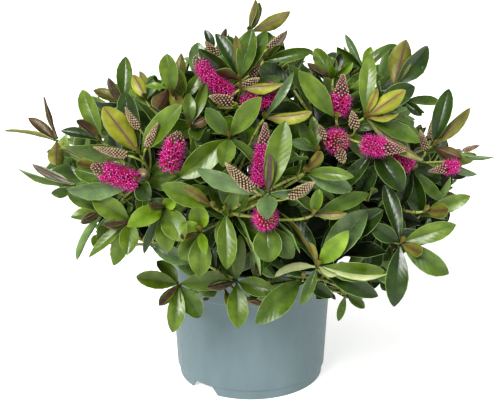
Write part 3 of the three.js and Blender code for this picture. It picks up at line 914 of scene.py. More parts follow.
@dataclass(frozen=True)
class FrontShoot:
    """A shoot of the front: where its tip is, and the way that the tip points."""

    bearing: float
    rise: float
    reach: float
    aim_bearing: float
    aim_rise: float

    @property
    def way(self) -> Array:
        """Its direction from the crown's centre."""
        return outward(self.bearing, self.rise)

    @property
    def aim(self) -> Array:
        """The way that its tip points."""
        return outward(self.aim_bearing, self.aim_rise)


# The front is seen from this far from the pot's axis, from this rise above the level, in mm
# and degrees. Across and up are measured from the middle of the view, at the axis.
VIEW_MIDDLE = np.array([-1.0, 0.0, 203.0])
VIEW_RISE = 16.2
VIEW_DISTANCE = 1000.0
VIEW_AXES = np.array([rightward(0), upward(0, VIEW_RISE), outward(0, VIEW_RISE)])
EYE = VIEW_MIDDLE + VIEW_AXES[2] * VIEW_DISTANCE
CROWN_CENTRE = np.array([0.0, 0.0, 150.0])


def sight(across: float, up: float) -> Array:
    """The line of sight from the eye through a place in the view."""
    return unit(np.array([across, up, -VIEW_DISTANCE]) @ VIEW_AXES)


def on_crown(across: float, up: float, reach: float) -> Array:
    """The place seen there at a reach from the crown's centre, or as near as its sight passes."""
    way = sight(across, up)
    near = float((CROWN_CENTRE - EYE) @ way)
    off = float(np.linalg.norm(EYE + way * near - CROWN_CENTRE))
    return EYE + way * (near - math.sqrt(max(0.0, reach**2 - off**2)))


def at_depth(across: float, up: float, depth: float) -> Array:
    """The place seen there at a depth, which is taken along the middle of the view."""
    way = sight(across, up)
    return EYE + way * depth / float(-way @ VIEW_AXES[2])


def seen(points: Array) -> Array:
    """Where points are seen from the front: across, up, and their depth."""
    inside = (points - EYE) @ VIEW_AXES.T
    depth = -inside[..., 2:]
    return np.concatenate([inside[..., :2] / depth * VIEW_DISTANCE, depth], axis=-1)


# The crown's outline as seen from the front, clockwise from its top: across and up. Only
# the leaves of the front sprays stand out of it.
CROWN_OUTLINE = np.array((
    (-16, 190), (13, 190), (35, 185), (38, 171), (68, 165), (76, 168), (96, 165), (107, 171),
    (125, 159), (135, 164), (159, 171), (163, 156), (170, 130), (182, 125), (183, 113), (210, 112),
    (210, 103), (172, 101), (191, 85), (201, 80), (212, 98), (226, 98), (221, 67), (237, 58), (264, 49),
    (241, 38), (248, 29), (230, 20), (226, 11), (241, 3), (237, -9), (223, -20), (227, -36), (210, -48),
    (194, -56), (208, -76), (170, -58), (165, -69), (166, -101), (160, -114), (150, -101), (136, -109),
    (112, -112), (85, -114), (56, -114), (22, -123), (0, -118), (-16, -125), (-40, -112), (-58, -125),
    (-74, -112), (-83, -136), (-94, -112), (-112, -97), (-123, -87), (-105, -72), (-89, -69),
    (-114, -58), (-121, -31), (-127, -56), (-139, -63), (-152, -69), (-161, -56), (-169, -63),
    (-163, -42), (-177, -60), (-192, -63), (-179, -40), (-170, -27), (-185, -27), (-198, -19),
    (-188, -9), (-177, -7), (-201, 2), (-220, 7), (-206, 16), (-226, 22), (-253, 32), (-241, 39),
    (-221, 36), (-226, 47), (-228, 60), (-216, 70), (-210, 78), (-194, 78), (-192, 89), (-185, 98),
    (-185, 118), (-174, 115), (-163, 105), (-172, 121), (-159, 118), (-155, 132), (-147, 130),
    (-146, 147), (-139, 156), (-131, 141), (-114, 134), (-107, 145), (-98, 156), (-92, 162), (-76, 159),
    (-67, 168), (-58, 174), (-49, 174), (-38, 183),
), dtype=float)


def in_outline(points: Array) -> bool:
    """Whether points are all seen inside the crown's outline.

    From a place inside, a line to the right crosses the outline an odd number of times.
    """
    places = seen(np.atleast_2d(points))[:, None, :2]
    start, end = CROWN_OUTLINE, np.roll(CROWN_OUTLINE, -1, axis=0)
    spans = (start[:, 1] > places[..., 1]) != (end[:, 1] > places[..., 1])
    rise = np.where(end[:, 1] == start[:, 1], 1.0, end[:, 1] - start[:, 1])
    meets = start[:, 0] + (places[..., 1] - start[:, 1]) / rise * (end[:, 0] - start[:, 0])
    return bool(np.all(np.sum(spans & (places[..., 0] < meets), axis=1) % 2 == 1))


@dataclass(frozen=True)
class SeenLeaf:
    """A leaf of the front: where its tip is seen, and how much nearer that is than its foot.

    Turn is about its own length, from the pose in which its top looks to the front.
    """

    across: float
    up: float
    nearer: float
    width: float
    look: Look
    turn: float = 0.0


@dataclass(frozen=True)
class FrontSpray:
    """The leaves at one joint of a front shoot, by where they are seen.

    Shell is how far from the crown's centre the joint stands, if its sight passes that near.
    """

    across: float
    up: float
    shell: float
    leaves: tuple[SeenLeaf, ...]

    @property
    def place(self) -> Array:
        """The joint that carries them."""
        return on_crown(self.across, self.up, self.shell)

    @property
    def reach(self) -> float:
        """From the crown's centre to the joint."""
        return float(np.linalg.norm(self.place - CROWN_CENTRE))

    @property
    def way(self) -> Array:
        """The joint's direction from the crown's centre."""
        return unit(self.place - CROWN_CENTRE)

    @property
    def aim(self) -> Array:
        """The way that the shoot points there: outward, and towards its leaves' tips."""
        ways = [unit(self.tip(leaf) - self.place) for leaf in self.leaves]
        return unit(self.way + sum(ways) / len(ways))

    def shoot_tip(self) -> tuple[SeenLeaf, ...]:
        """The youngest pair of leaves, folded, which comes towards the eye between the others."""
        if any(leaf.look.folded for leaf in self.leaves):
            return ()
        return (SeenLeaf(self.across * 1.03, self.up + 7, 13, 5, TIP),)

    def tip(self, leaf: SeenLeaf) -> Array:
        """Where a leaf's tip is."""
        return at_depth(leaf.across, leaf.up, seen(self.place)[2] - leaf.nearer)


def leaves_at(across: float, up: float, shell: float, *leaves: tuple[Any, ...]) -> FrontSpray:
    """A front spray. Each leaf is its tip's across and up, nearer, width, look and turn."""
    return FrontSpray(across, up, shell, tuple(SeenLeaf(*leaf) for leaf in leaves))


# Each is its joint's across, up and shell, and then its leaves. A leaf's look is partly painted light: a
# paler look where the leaf is lit, a darker one where it lies in shade
FRONT_SPRAYS = (
    # Far left
    leaves_at(
        -216, 67, 240,
        (-274, 77, -12, 11, OLIVE, 118), (-247, 91, -5, 13, BRONZE, 165), (-230, 114, -10, 9, BUD, 70),
        (-217, 40, 30, 18, OLIVE, 180),
    ),
    # Left, under the edge
    leaves_at(
        -194, 15, 248,
        (-258, 34, 0, 12, MID, -50), (-242, 39, -10, 11, BUD, 40), (-221, 8, 5, 11, MID, -40),
    ),
    # Left shoulder
    leaves_at(
        -166, 66, 244,
        (-187, 122, -12, 18, FRESH), (-193, 88, 8, 11, BRONZE, 150), (-210, 77, 0, 11, GROWN, 40),
    ),
    # Left, the broad olive leaf
    leaves_at(
        -123, 51, 250,
        (-206, 60, 22, 19, MID, -28), (-163, 103, 22, 23, YELLOW, 180), (-77, 106, 14, 21, FRESH, -25),
        (-140, 120, -14, 21, GROWN, -20),
    ),
    # Upper left edge
    leaves_at(
        -141, 107, 240,
        (-174, 122, 0, 12, OLIVE, 150), (-177, 111, -10, 11, GROWN, -40), (-158, 135, 6, 11, BUD, 30),
        (-139, 159, -6, 16, MID),
    ),
    # Upper left, the bronze leaf
    leaves_at(
        -91, 125, 244,
        (-103, 103, 24, 18, BRONZE, 180), (-96, 145, 6, 8, BUD), (-116, 127, 0, 8, LIME, 40),
        (-77, 105, 16, 14, OLIVE, 170),
    ),
    # Upper left, olive leaves
    leaves_at(
        -116, 112, 240,
        (-130, 139, -4, 14, YELLOW, 180), (-123, 143, -16, 11, OLIVE, 150),
        (-109, 134, -10, 11, SAGE, 20),
    ),
    # Top left, erect leaves
    leaves_at(
        -67, 82, 246,
        (-69, 118, 0, 12, FRESH), (-50, 131, -10, 11, FRESH, 10), (-49, 91, 2, 11, BRONZE, 150),
    ),
    # Top left, behind the raceme
    leaves_at(-59, 132, 232, (-58, 175, 0, 18, SAGE), (-74, 142, 8, 11, GROWN)),
    # Lower left
    leaves_at(
        -133, -23, 225,
        (-175, 2, 10, 20, FRESH), (-162, -28, 16, 11, BUD, 30), (-179, -63, 0, 11, FRESH, 35),
        (-137, -60, 14, 18, FRESH), (-152, -72, -6, 17, FRESH),
    ),
    # Lower left edge
    leaves_at(
        -166, -15, 240,
        (-199, -19, 5, 12, FRESH, 25), (-188, -25, 14, 11, BUD, -30), (-193, -66, -6, 11, SAGE, 130),
    ),
    # Low, left of the middle
    leaves_at(
        -96, -8, 238,
        (-136, -29, 26, 18, LIME), (-112, -7, 32, 8, BUD), (-84, 2, 14, 12, LIME),
        (-75, -45, 16, 23, FRESH), (-92, -57, 2, 18, FRESH), (-118, -59, -12, 8, GROWN, 20),
    ),
    # Middle left
    leaves_at(-41, -8, 244, (-98, 16, 12, 19, FRESH), (-74, 15, 26, 10, OLIVE, 170)),
    # Low middle, small leaves
    leaves_at(
        -55, -35, 226,
        (-76, -26, 14, 13, LIME), (-77, -42, 20, 8, BRONZE, 160), (-50, -60, 20, 9, LIME),
        (-56, -84, 0, 21, FRESH), (-59, -4, 12, 18, LIME), (-77, -65, -4, 18, FRESH),
    ),
    # Middle, the long hanging leaf
    leaves_at(
        -27, -13, 240,
        (-26, -76, 10, 18, FRESH), (-17, 11, 16, 13, FRESH, 20), (-32, -13, 24, 8, FRESH),
    ),
    # Over the pot, left
    leaves_at(
        -79, -94, 150,
        (-126, -86, 4, 18, FRESH), (-103, -69, -6, 16, FRESH, 20), (-20, -87, 26, 20, FRESH),
        (-101, -117, 20, 11, BUD), (-86, -147, 8, 18, FRESH), (-56, -130, -2, 20, MID),
    ),
    # Over the pot, middle
    leaves_at(
        -15, -91, 152,
        (-47, -98, 22, 10, BUD, 10), (27, -101, 14, 19, FRESH), (-13, -142, 8, 21, FRESH),
        (-11, -40, 12, 14, FRESH), (-31, -69, 2, 16, MID),
    ),
    # Middle, the leaf beside the raceme
    leaves_at(
        20, 7, 262,
        (39, 87, 0, 22, FRESH), (23, 50, 12, 11, BUD), (-60, 36, 10, 19, SAGE, -35),
        (70, 18, -6, 14, SAGE, 40), (20, -20, 14, 18, SAGE),
    ),
    # Middle, behind the round raceme
    leaves_at(18, -27, 228, (21, -68, 6, 26, MID), (47, -64, -4, 19, MID)),
    # Low right, the lime leaf
    leaves_at(
        76, -74, 205,
        (29, -85, 14, 11, CREAM, 130), (152, -83, 22, 11, CREAM, 130), (35, -15, 0, 9, OLIVE, 120),
        (130, -12, 6, 26, SAGE), (109, -35, 24, 18, LIME), (149, -79, 2, 19, FRESH, 20),
        (142, -107, -6, 19, GROWN), (45, -18, -16, 16, GROWN, 20), (57, -116, 0, 11, MID),
        (66, -48, 14, 7, YELLOW, 150), (96, -84, 28, 8, CREAM, 130),
    ),
    # Low right edge
    leaves_at(
        168, -48, 236,
        (221, -82, 10, 21, MID), (229, -28, 6, 18, FRESH), (191, -59, 22, 13, OLIVE, 180),
        (161, -118, 2, 21, GROWN), (135, -28, 4, 16, GROWN), (150, 16, -14, 16, GROWN, 20),
    ),
    # Right, under the racemes
    leaves_at(194, -13, 244, (221, -11, 20, 15, OLIVE, 170), (245, 4, 4, 15, FRESH, 20)),
    # Right shoulder, the yellow leaf
    leaves_at(
        128, 92, 252,
        (173, 122, 18, 17, YELLOW, 180), (142, 124, 12, 8, YELLOW, 150), (165, 96, 20, 9, YELLOW, 120),
        (193, 45, 20, 12, OLIVE, 140), (189, 65, 4, 16, MID, -20), (134, 162, -8, 16, FRESH),
    ),
    # Top right
    leaves_at(
        160, 125, 244,
        (174, 178, 6, 24, OLIVE, 180), (198, 171, -10, 23, GROWN, 15), (163, 173, -24, 14, GROWN),
    ),
    # Right edge
    leaves_at(
        204, 60, 246,
        (222, 123, 0, 18, GROWN), (245, 102, 8, 13, OLIVE, 160), (236, 47, 12, 14, BRONZE, 170),
        (244, 44, 2, 7, FRESH), (273, 48, -20, 12, SAGE, 60), (253, 29, -26, 11, SAGE, 50),
    ),
    # Topmost
    leaves_at(
        -1, 187, 238,
        (6, 223, 0, 11, OLIVE, 165), (10, 220, -8, 11, MID, 60), (44, 210, 2, 16, OLIVE, 150),
    ),
    # Top, in front
    leaves_at(
        -11, 134, 250,
        (2, 190, 4, 18, MID), (-38, 185, -6, 14, GROWN, 20), (-57, 168, 8, 16, GROWN, -30),
        (-16, 183, 14, 9, OLIVE, 170), (-37, 144, 14, 11, BRONZE, 150), (18, 188, -6, 15, MID),
    ),
    # Top middle, over the raceme
    leaves_at(-11, 124, 254, (36, 130, 12, 13, YELLOW, 150)),
    # Middle, under the top
    leaves_at(
        -23, 70, 254,
        (12, 114, 14, 18, FRESH), (-48, 102, 6, 15, MID), (-77, 26, 4, 23, FRESH),
        (-30, 38, 14, 17, FRESH), (9, 37, 4, 14, MID, -40),
    ),
    # Upper right, the long leaf
    leaves_at(96, 91, 250, (55, 143, 10, 19, FRESH)),
    # Upper left, erect leaf
    leaves_at(-86, 117, 246, (-93, 162, 4, 18, FRESH), (-77, 163, -14, 12, OLIVE, 160)),
    # Middle right, small leaves
    leaves_at(
        61, 30, 250,
        (115, 26, 16, 12, FRESH, -20), (79, 53, 14, 11, OLIVE, 165), (113, 12, -6, 16, SAGE, 10),
    ),
    # Right, under the long raceme
    leaves_at(139, 56, 238, (170, 11, 12, 23, GROWN), (102, 12, -10, 14, GROWN)),
    # Yellow, between the racemes
    leaves_at(16, 91, 248, (68, 98, 12, 15, YELLOW, 140), (48, 142, 4, 8, SAGE, 20)),
    # Top, behind on the left
    leaves_at(-40, 163, 236, (-50, 189, 0, 9, GROWN, 20), (-27, 191, 4, 7, BRONZE, 150)),
    # Top, behind on the right
    leaves_at(
        16, 156, 236,
        (41, 189, 0, 8, BRONZE, 150), (38, 169, -6, 16, MID), (69, 166, 6, 13, MID),
    ),
    # Upper right, behind
    leaves_at(
        93, 136, 236,
        (73, 168, -8, 15, FRESH), (89, 159, 2, 12, FRESH, 20), (101, 163, -2, 9, DEEP),
        (91, 150, 12, 8, LIME), (114, 153, 8, 9, LIME, 30), (65, 152, 6, 9, BUD, 20),
    ),
    # Upper right, the dark leaf
    leaves_at(
        126, 147, 238,
        (98, 170, 6, 15, MID, -20), (107, 184, -12, 8, SAGE), (135, 170, 0, 11, LIME),
        (163, 173, 0, 13, MID, -30), (144, 160, 6, 6, OLIVE, 160),
    ),
    # Right, behind the yellow leaf
    leaves_at(139, 103, 240, (183, 126, 0, 22, GROWN)),
    # Right, behind the upper leaves
    leaves_at(
        172, 111, 236,
        (212, 109, 0, 12, MID, -20), (194, 98, 2, 8, SAGE, 30), (191, 95, 6, 11, GROWN),
    ),
    # Left, behind the raceme
    leaves_at(-169, 37, 240, (-212, 57, 4, 9, OLIVE, 140), (-193, 41, 10, 11, OLIVE, 160)),
    # Left, under the raceme
    leaves_at(-125, 19, 244, (-204, 12, -12, 18, SAGE, -25), (-112, 1, 12, 18, GROWN)),
    # Left, lower leaves
    leaves_at(-166, -12, 232, (-203, 9, 0, 15, MID), (-150, 8, 8, 13, GROWN)),
    # Right, the dark glossy leaves
    leaves_at(181, 34, 236, (190, -15, -4, 18, GROWN), (168, -6, 0, 14, GROWN), (213, 0, -4, 12, MID)),
    # Low right, small leaves
    leaves_at(
        70, -17, 240,
        (107, -15, 8, 9, OLIVE, 160), (77, 11, 4, 11, LIME), (132, 7, -12, 14, MID),
    ),
    # Low left, the grey leaf
    leaves_at(-114, -48, 222, (-68, -70, 4, 16, SAGE)),
    # Over the pot, right
    leaves_at(59, -88, 182, (7, -137, 24, 24, MID), (91, -108, 4, 13, GROWN)),
    # Upper left, behind the erect leaves
    leaves_at(-72, 112, 232, (-85, 147, 0, 14, LIME), (-57, 139, 0, 11, FRESH)),
    # Middle right, behind the round raceme
    leaves_at(
        74, 54, 234,
        (56, 85, 0, 12, MID), (70, 92, -4, 11, FRESH, 20), (47, 65, 0, 11, SAGE, 30),
    ),
    # Low right, under the edge
    leaves_at(107, -105, 190, (99, -134, 0, 8, MID), (127, -120, 2, 10, MID)),
)
# Each is its tip's bearing, rise and reach, and the bearing and rise that the tip points at
FRONT_SHOOTS = (
    FrontShoot(-53, 19, 205, -70, -15),
    FrontShoot(23, 54, 245, 20, 60),
    FrontShoot(40, 55, 250, 20, 70),
    FrontShoot(52, 48, 265, 50, 70),
    FrontShoot(74, 27, 262, 88, 12),
    FrontShoot(61, 20, 240, 85, 0),
    FrontShoot(55, 11, 220, 70, -10),
    FrontShoot(45, 7, 200, 55, -20),
    FrontShoot(24, 20, 235, 30, 15),
    FrontShoot(15, 26, 235, 15, 10),
    FrontShoot(33, 26, 240, 45, 15),
    FrontShoot(-13, 34, 240, -20, 25),
    FrontShoot(-18, 47, 245, -20, 50),
    FrontShoot(18, 65, 245, 10, 75),
    FrontShoot(14, 41, 245, 10, 45),
    FrontShoot(11, 3, 150, 14, -15),
    FrontShoot(29, 0, 152, 34, -20),
    FrontShoot(2, 13, 168, 2, 0),
    FrontShoot(24, 9, 168, 26, -5),
)


FRONTS = (*FRONT_SHOOTS, *FRONT_SPRAYS)


@dataclass
class Crown:
    """The plan of all limbs and shoots: where the wood, leaves and flowers go."""

    gap: float = 0.3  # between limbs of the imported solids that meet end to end
    compost_top: float = 130
    trunk_top: float = 200
    trunk_lean: tuple[float, float] = (-3, 4)
    whorl_bottom: float = 144
    whorl_spacing: float = 9
    bough_reach: float = 112
    bough_arch: float = 0.07  # of its length
    tip_room: float = 34  # from a shoot's stem to the reach of its leaves
    shortening: float = 4  # steps by which a leader draws back into the outline
    stem_length: float = 14  # of a leader, below its first fork
    fork_spacing: float = 7
    last_fork: float = 0.8  # of the leader, beyond which nothing forks off
    leader_radius: float = 2.4
    side_radius: float = 1.6
    side_count: int = 62
    side_scatter: float = 2.5
    side_reach: tuple[float, float] = (0.82, 0.96)  # of its mass's reach
    side_bend: float = 0.12
    gather: float = 0.22  # how far a side shoot's tip is drawn to the middle of its mass
    # How far a shoot's curve keeps to the direction of its ends, of its length
    leader_hold: float = 0.35
    front_foot_hold: float = 0.3
    front_tip_hold: float = 0.36
    side_hold: float = 0.3
    upturn: float = 0.35
    front_roll: float = 45
    roll_scatter: float = 0.4
    leader_room: float = 9  # degrees round a leader that others keep out of
    lowest_rise: float = -12
    front_room: float = 12  # degrees round a front shoot that others keep out of
    outer_count: int = 230
    outer_room: float = 8.5
    fill_forks: tuple[float, float] = (0.08, 0.45)  # where on the leader the finer shoots fork off
    inner_count: int = 230
    inner_reach: tuple[float, float] = (0.58, 0.76)
    inner_room: float = 7.5
    shoots: list[Shoot] = field(default_factory=list)

    def __post_init__(self) -> None:
        """Work out the trunk, the boughs and all shoots."""
        foot = np.array([0, 0, self.compost_top + self.gap])
        bend = np.array([0, 0, 0.6 * self.compost_top + 0.4 * self.trunk_top])
        tip = np.array([*self.trunk_lean, self.trunk_top])
        self.trunk = Curve(foot, bend, tip)
        self.boughs = {mass.name: self._bough(mass) for mass in MASSES}
        for mass in MASSES:
            self._grow_mass(mass)
        self._fill_in()

    def place(self, way: Array, reach: float) -> Array:
        """The place at a direction and a reach from the crown's centre."""
        return CROWN_CENTRE + way * reach

    def _bough(self, mass: Mass) -> Curve:
        """A bough from its whorl on the trunk to its mass. The topmost goes on from its tip."""
        tip = self.place(mass.way, self.bough_reach)
        height = self.whorl_bottom + self.whorl_spacing * mass.whorl
        way = (height - self.compost_top) / (self.trunk_top - self.compost_top)
        above = way > 1
        foot = self.trunk.point(1) + self.trunk.tangent(1) * self.gap if above else self.trunk.point(way)
        rise = self.bough_arch * np.linalg.norm(tip - foot) * math.cos(mass.rise * DEGREE)
        return Curve(foot, (foot + tip) / 2 + np.array([0, 0, rise]), tip)

    def _side_ways(self, count: int, seed: int) -> list[Array]:
        """Directions spread evenly over the crown on a spiral."""
        random = SeededRandom(seed)
        lowest = math.sin(self.lowest_rise * DEGREE)
        ways = []
        for i in range(count):
            sine = 1 - ((1 - lowest) * (i + 0.5)) / count
            rise = math.asin(sine) / DEGREE + random.either_way(self.side_scatter)
            ways.append(outward(GOLDEN_TURN * i + random.either_way(self.side_scatter), rise))
        return ways

    @staticmethod
    def _has_room(way: Array, others: Sequence[Array], degrees: float) -> bool:
        """Whether a direction is at least some degrees from all others."""
        return all(float(way @ other) < math.cos(degrees * DEGREE) for other in others)

    def _leader(self, mass: Mass) -> Curve:
        """The leading shoot, which goes on from the bough along the middle of the mass.

        On the front it ends where the nearest front shoot does.
        """
        bough = self.boughs[mass.name]
        ahead = bough.tangent(1)
        foot = bough.point(1) + ahead * self.gap
        near = max(FRONTS, key=lambda front: float(front.way @ mass.way))
        if float(near.way @ mass.way) > math.cos(self.front_room * DEGREE):
            tip = self.place(near.way, near.reach)
            room = np.linalg.norm(tip - foot)
            hold = self.leader_hold
            return Curve(foot, foot + ahead * hold * room, tip - near.aim * hold * room, tip)
        reach = mass.reach - self.tip_room
        while not in_outline(self.place(mass.way, reach)):
            reach -= self.shortening
        tip = self.place(mass.way, reach)
        return Curve(foot, foot + ahead * np.linalg.norm(tip - foot) / 2, tip)

    def _grow_mass(self, mass: Mass) -> None:
        """Grow the leading shoot of a mass, its side shoots, and the front shoots in it."""
        random = SeededRandom(mass.seed)
        leader = self._leader(mass)
        ahead = self.boughs[mass.name].tangent(1)
        lead = len(self.shoots)
        self.shoots.append(self._shoot(ShootKind.LEADER, mass, leader, random))
        fronts = [front for front in FRONTS if nearest_mass(front.way) is mass]
        room = math.cos(self.leader_room * DEGREE)
        front_ways = [front.way for front in FRONTS]
        place = self.stem_length
        for way in self._side_ways(self.side_count, self.side_count):
            clear = all(float(other.way @ way) < room for other in MASSES)
            lowest = math.sin(mass.lowest * DEGREE)
            if not clear or nearest_mass(way) is not mass or way[2] <= lowest:
                continue
            reach = mass.reach * random.between(*self.side_reach)
            if self._has_room(way, front_ways, self.front_room):
                inward = unit(way + (mass.way - way) * self.gather)
                tip = self.place(inward, reach - self.tip_room)
                foot = leader.point(place / leader.length)
                curve = self._bent(foot, ahead, tip)
                if in_outline(tip):
                    self.shoots.append(self._shoot(ShootKind.SIDE, mass, curve, random))
            place += self.fork_spacing
        for front in fronts:
            tip = self.place(front.way, front.reach)
            # The leader itself may be the shoot that ends there
            if np.linalg.norm(tip - leader.point(1)) < 1:
                if isinstance(front, FrontSpray):
                    self.shoots[lead].kind = ShootKind.SPRAY
                continue
            foot = leader.point(min(place / leader.length, self.last_fork))
            room_left = np.linalg.norm(tip - foot)
            away = foot + leader.tangent(0.3) * self.front_foot_hold * room_left
            curve = Curve(foot, away, tip - front.aim * self.front_tip_hold * room_left, tip)
            kind = ShootKind.SPRAY if isinstance(front, FrontSpray) else ShootKind.FRONT
            shoot = self._shoot(kind, mass, curve, random)
            shoot.roll = self.front_roll * DEGREE + random.either_way(self.roll_scatter)
            self.shoots.append(shoot)
            place += self.fork_spacing

    def _bent(self, foot: Array, ahead: Array, tip: Array) -> Curve:
        """A shoot that sets out for its tip a little forward, and turns up at its end."""
        room = np.linalg.norm(tip - foot)
        straight = (tip - foot) / room
        end = unit(straight + np.array([0, 0, self.upturn]))
        forward = foot + straight * self.side_hold * room + ahead * self.side_bend * room
        return Curve(foot, forward, tip - end * self.side_hold * room, tip)

    def _shoot(self, kind: ShootKind, mass: Mass, curve: Curve, random: SeededRandom) -> Shoot:
        """A shoot on a curve, with its own turn and vigour."""
        radius = self.leader_radius if kind is ShootKind.LEADER else self.side_radius
        return Shoot(kind, mass, curve, radius, math.pi * random.draw(), random.draw())

    def _fill_in(self) -> None:
        """Carry the rule on to finer shoots: outer ones in the gaps, then inner ones."""
        random = SeededRandom(7)
        taken = [unit(shoot.curve.point(1) - CROWN_CENTRE) for shoot in self.shoots]
        rounds = (
            (ShootKind.OUTER, self.outer_count, 5, self.side_reach, self.outer_room),
            (ShootKind.INNER, self.inner_count, 6, self.inner_reach, self.inner_room),
        )
        for kind, count, seed, reaches, room in rounds:
            for way in self._side_ways(count, seed):
                mass = nearest_mass(way)
                leader = next(shoot for shoot in self.shoots if shoot.mass is mass)
                share = random.between(*reaches)
                if way[2] <= math.sin(mass.lowest * DEGREE) or not self._has_room(way, taken, room):
                    continue
                taken.append(way)
                inward = unit(way + (mass.way - way) * self.gather)
                tip = self.place(inward, mass.reach * share - self.tip_room)
                if not in_outline(tip):
                    continue
                foot = leader.curve.point(random.between(*self.fill_forks))
                curve = self._bent(foot, leader.curve.tangent(0.2), tip)
                self.shoots.append(self._shoot(kind, mass, curve, random))


# ---------------------------------------------------------------- flowers


@dataclass(frozen=True)
class BloomPlan:
    """A kind of bloom that the rule deals out.

    Lean is clockwise from upright and tilt outward, in degrees. Share is how much of it is in
    flower, from its base.
    """

    lean: float
    tilt: float
    length: float
    radius: float
    share: float


RACEME = BloomPlan(-30, 30, 46, 12.5, 0.7)
SPIKE = BloomPlan(40, 30, 34, 4.6, 0.0)


@dataclass(frozen=True)
class FrontBloom:
    """A bloom of the front: where its base and its tip are seen, and how much nearer the tip is.

    Shell is how far from the crown's centre its base stands, if its sight passes that near.
    """

    across: float
    up: float
    shell: float
    tip_across: float
    tip_up: float
    nearer: float
    radius: float
    share: float = 0.0  # of the raceme that is in flower, from its base
    clearance: float = 1.0  # between its face and the leaves beside it


FRONT_BLOOMS = (
    FrontBloom(-21, 115, 238, -61, 161, 8, 10.8, 0.8, 2),
    FrontBloom(-6, 106, 236, 37, 126, 8, 12.2, 0.75, -7),
    FrontBloom(-91, 37, 246, -80, 76, 12, 12.7, 0.7, 2),
    FrontBloom(-126, 20, 246, -177, 38, 8, 12.2, 0.7, 2),
    FrontBloom(98, 97, 246, 104, 140, 10, 12.2, 0.46),
    FrontBloom(93, 68, 226, 102, 65, 28, 14.7, 0.64),
    FrontBloom(126, 63, 246, 173, 56, 10, 11.8, 0.5, 0),
    FrontBloom(154, 59, 236, 180, 37, 4, 12.2, 0.94, -3),
    FrontBloom(232, 39, 262, 200, 32, 4, 8.3, 0.42, -2),
    FrontBloom(9, 19, 244, 17, 86, 8, 9.3, 0.62, -4),
    FrontBloom(16, -18, 228, 22, -20, 26, 13.7, 0.66, -3),
    FrontBloom(-124, 80, 262, -139, 103, 12, 3.8),
    FrontBloom(-116, 59, 254, -103, 86, 8, 3.8),
    FrontBloom(-137, 50, 270, -174, 59, 16, 4.1),
    FrontBloom(-122, 32, 238, -118, 29, 18, 4.2),
    FrontBloom(-19, 109, 250, -45, 116, 8, 6.0),
    FrontBloom(-35, 160, 236, -50, 177, 4, 4.7, 0, 0),
    FrontBloom(20, 169, 232, 40, 188, 0, 4.2, 0, 0),
    FrontBloom(2, 137, 246, 11, 164, 6, 5.1, 0, 0),
    FrontBloom(-9, 125, 246, 10, 136, 10, 5.1, 0, 0),
    FrontBloom(117, 80, 252, 114, 99, 8, 5.1),
    FrontBloom(82, 67, 236, 78, 83, 6, 4.7, 0, 0),
    FrontBloom(99, 56, 234, 105, 42, 8, 5.5, 0, 0),
    FrontBloom(196, 55, 240, 190, 78, 4, 4.2, 0, 0),
    FrontBloom(201, 67, 232, 209, 92, 0, 4.2, 0, 0),
    FrontBloom(219, 54, 240, 237, 53, 6, 3.0, 0, 0),
    FrontBloom(238, 55, 236, 256, 61, 4, 3.0, 0, 0),
    FrontBloom(3, 12, 272, -27, 41, 18, 5.4),
    FrontBloom(44, 3, 262, 72, 20, 12, 4.9),
)


@dataclass
class Bloom:
    """A raceme of open flowers, or a spike of closed buds, from its base to its tip."""

    base: Array
    tip: Array
    face: Array  # the way that it is looked at from
    radius: float
    room: float  # from its axis to where leaves may stand in front of it
    share: float  # of it that is in flower, from its base

    @property
    def open(self) -> bool:
        """Whether it is in flower."""
        return self.share > 0

    @property
    def length(self) -> float:
        """From base to tip."""
        return float(np.linalg.norm(self.tip - self.base))

    @property
    def axis(self) -> Array:
        """The way that it points."""
        return unit(self.tip - self.base)


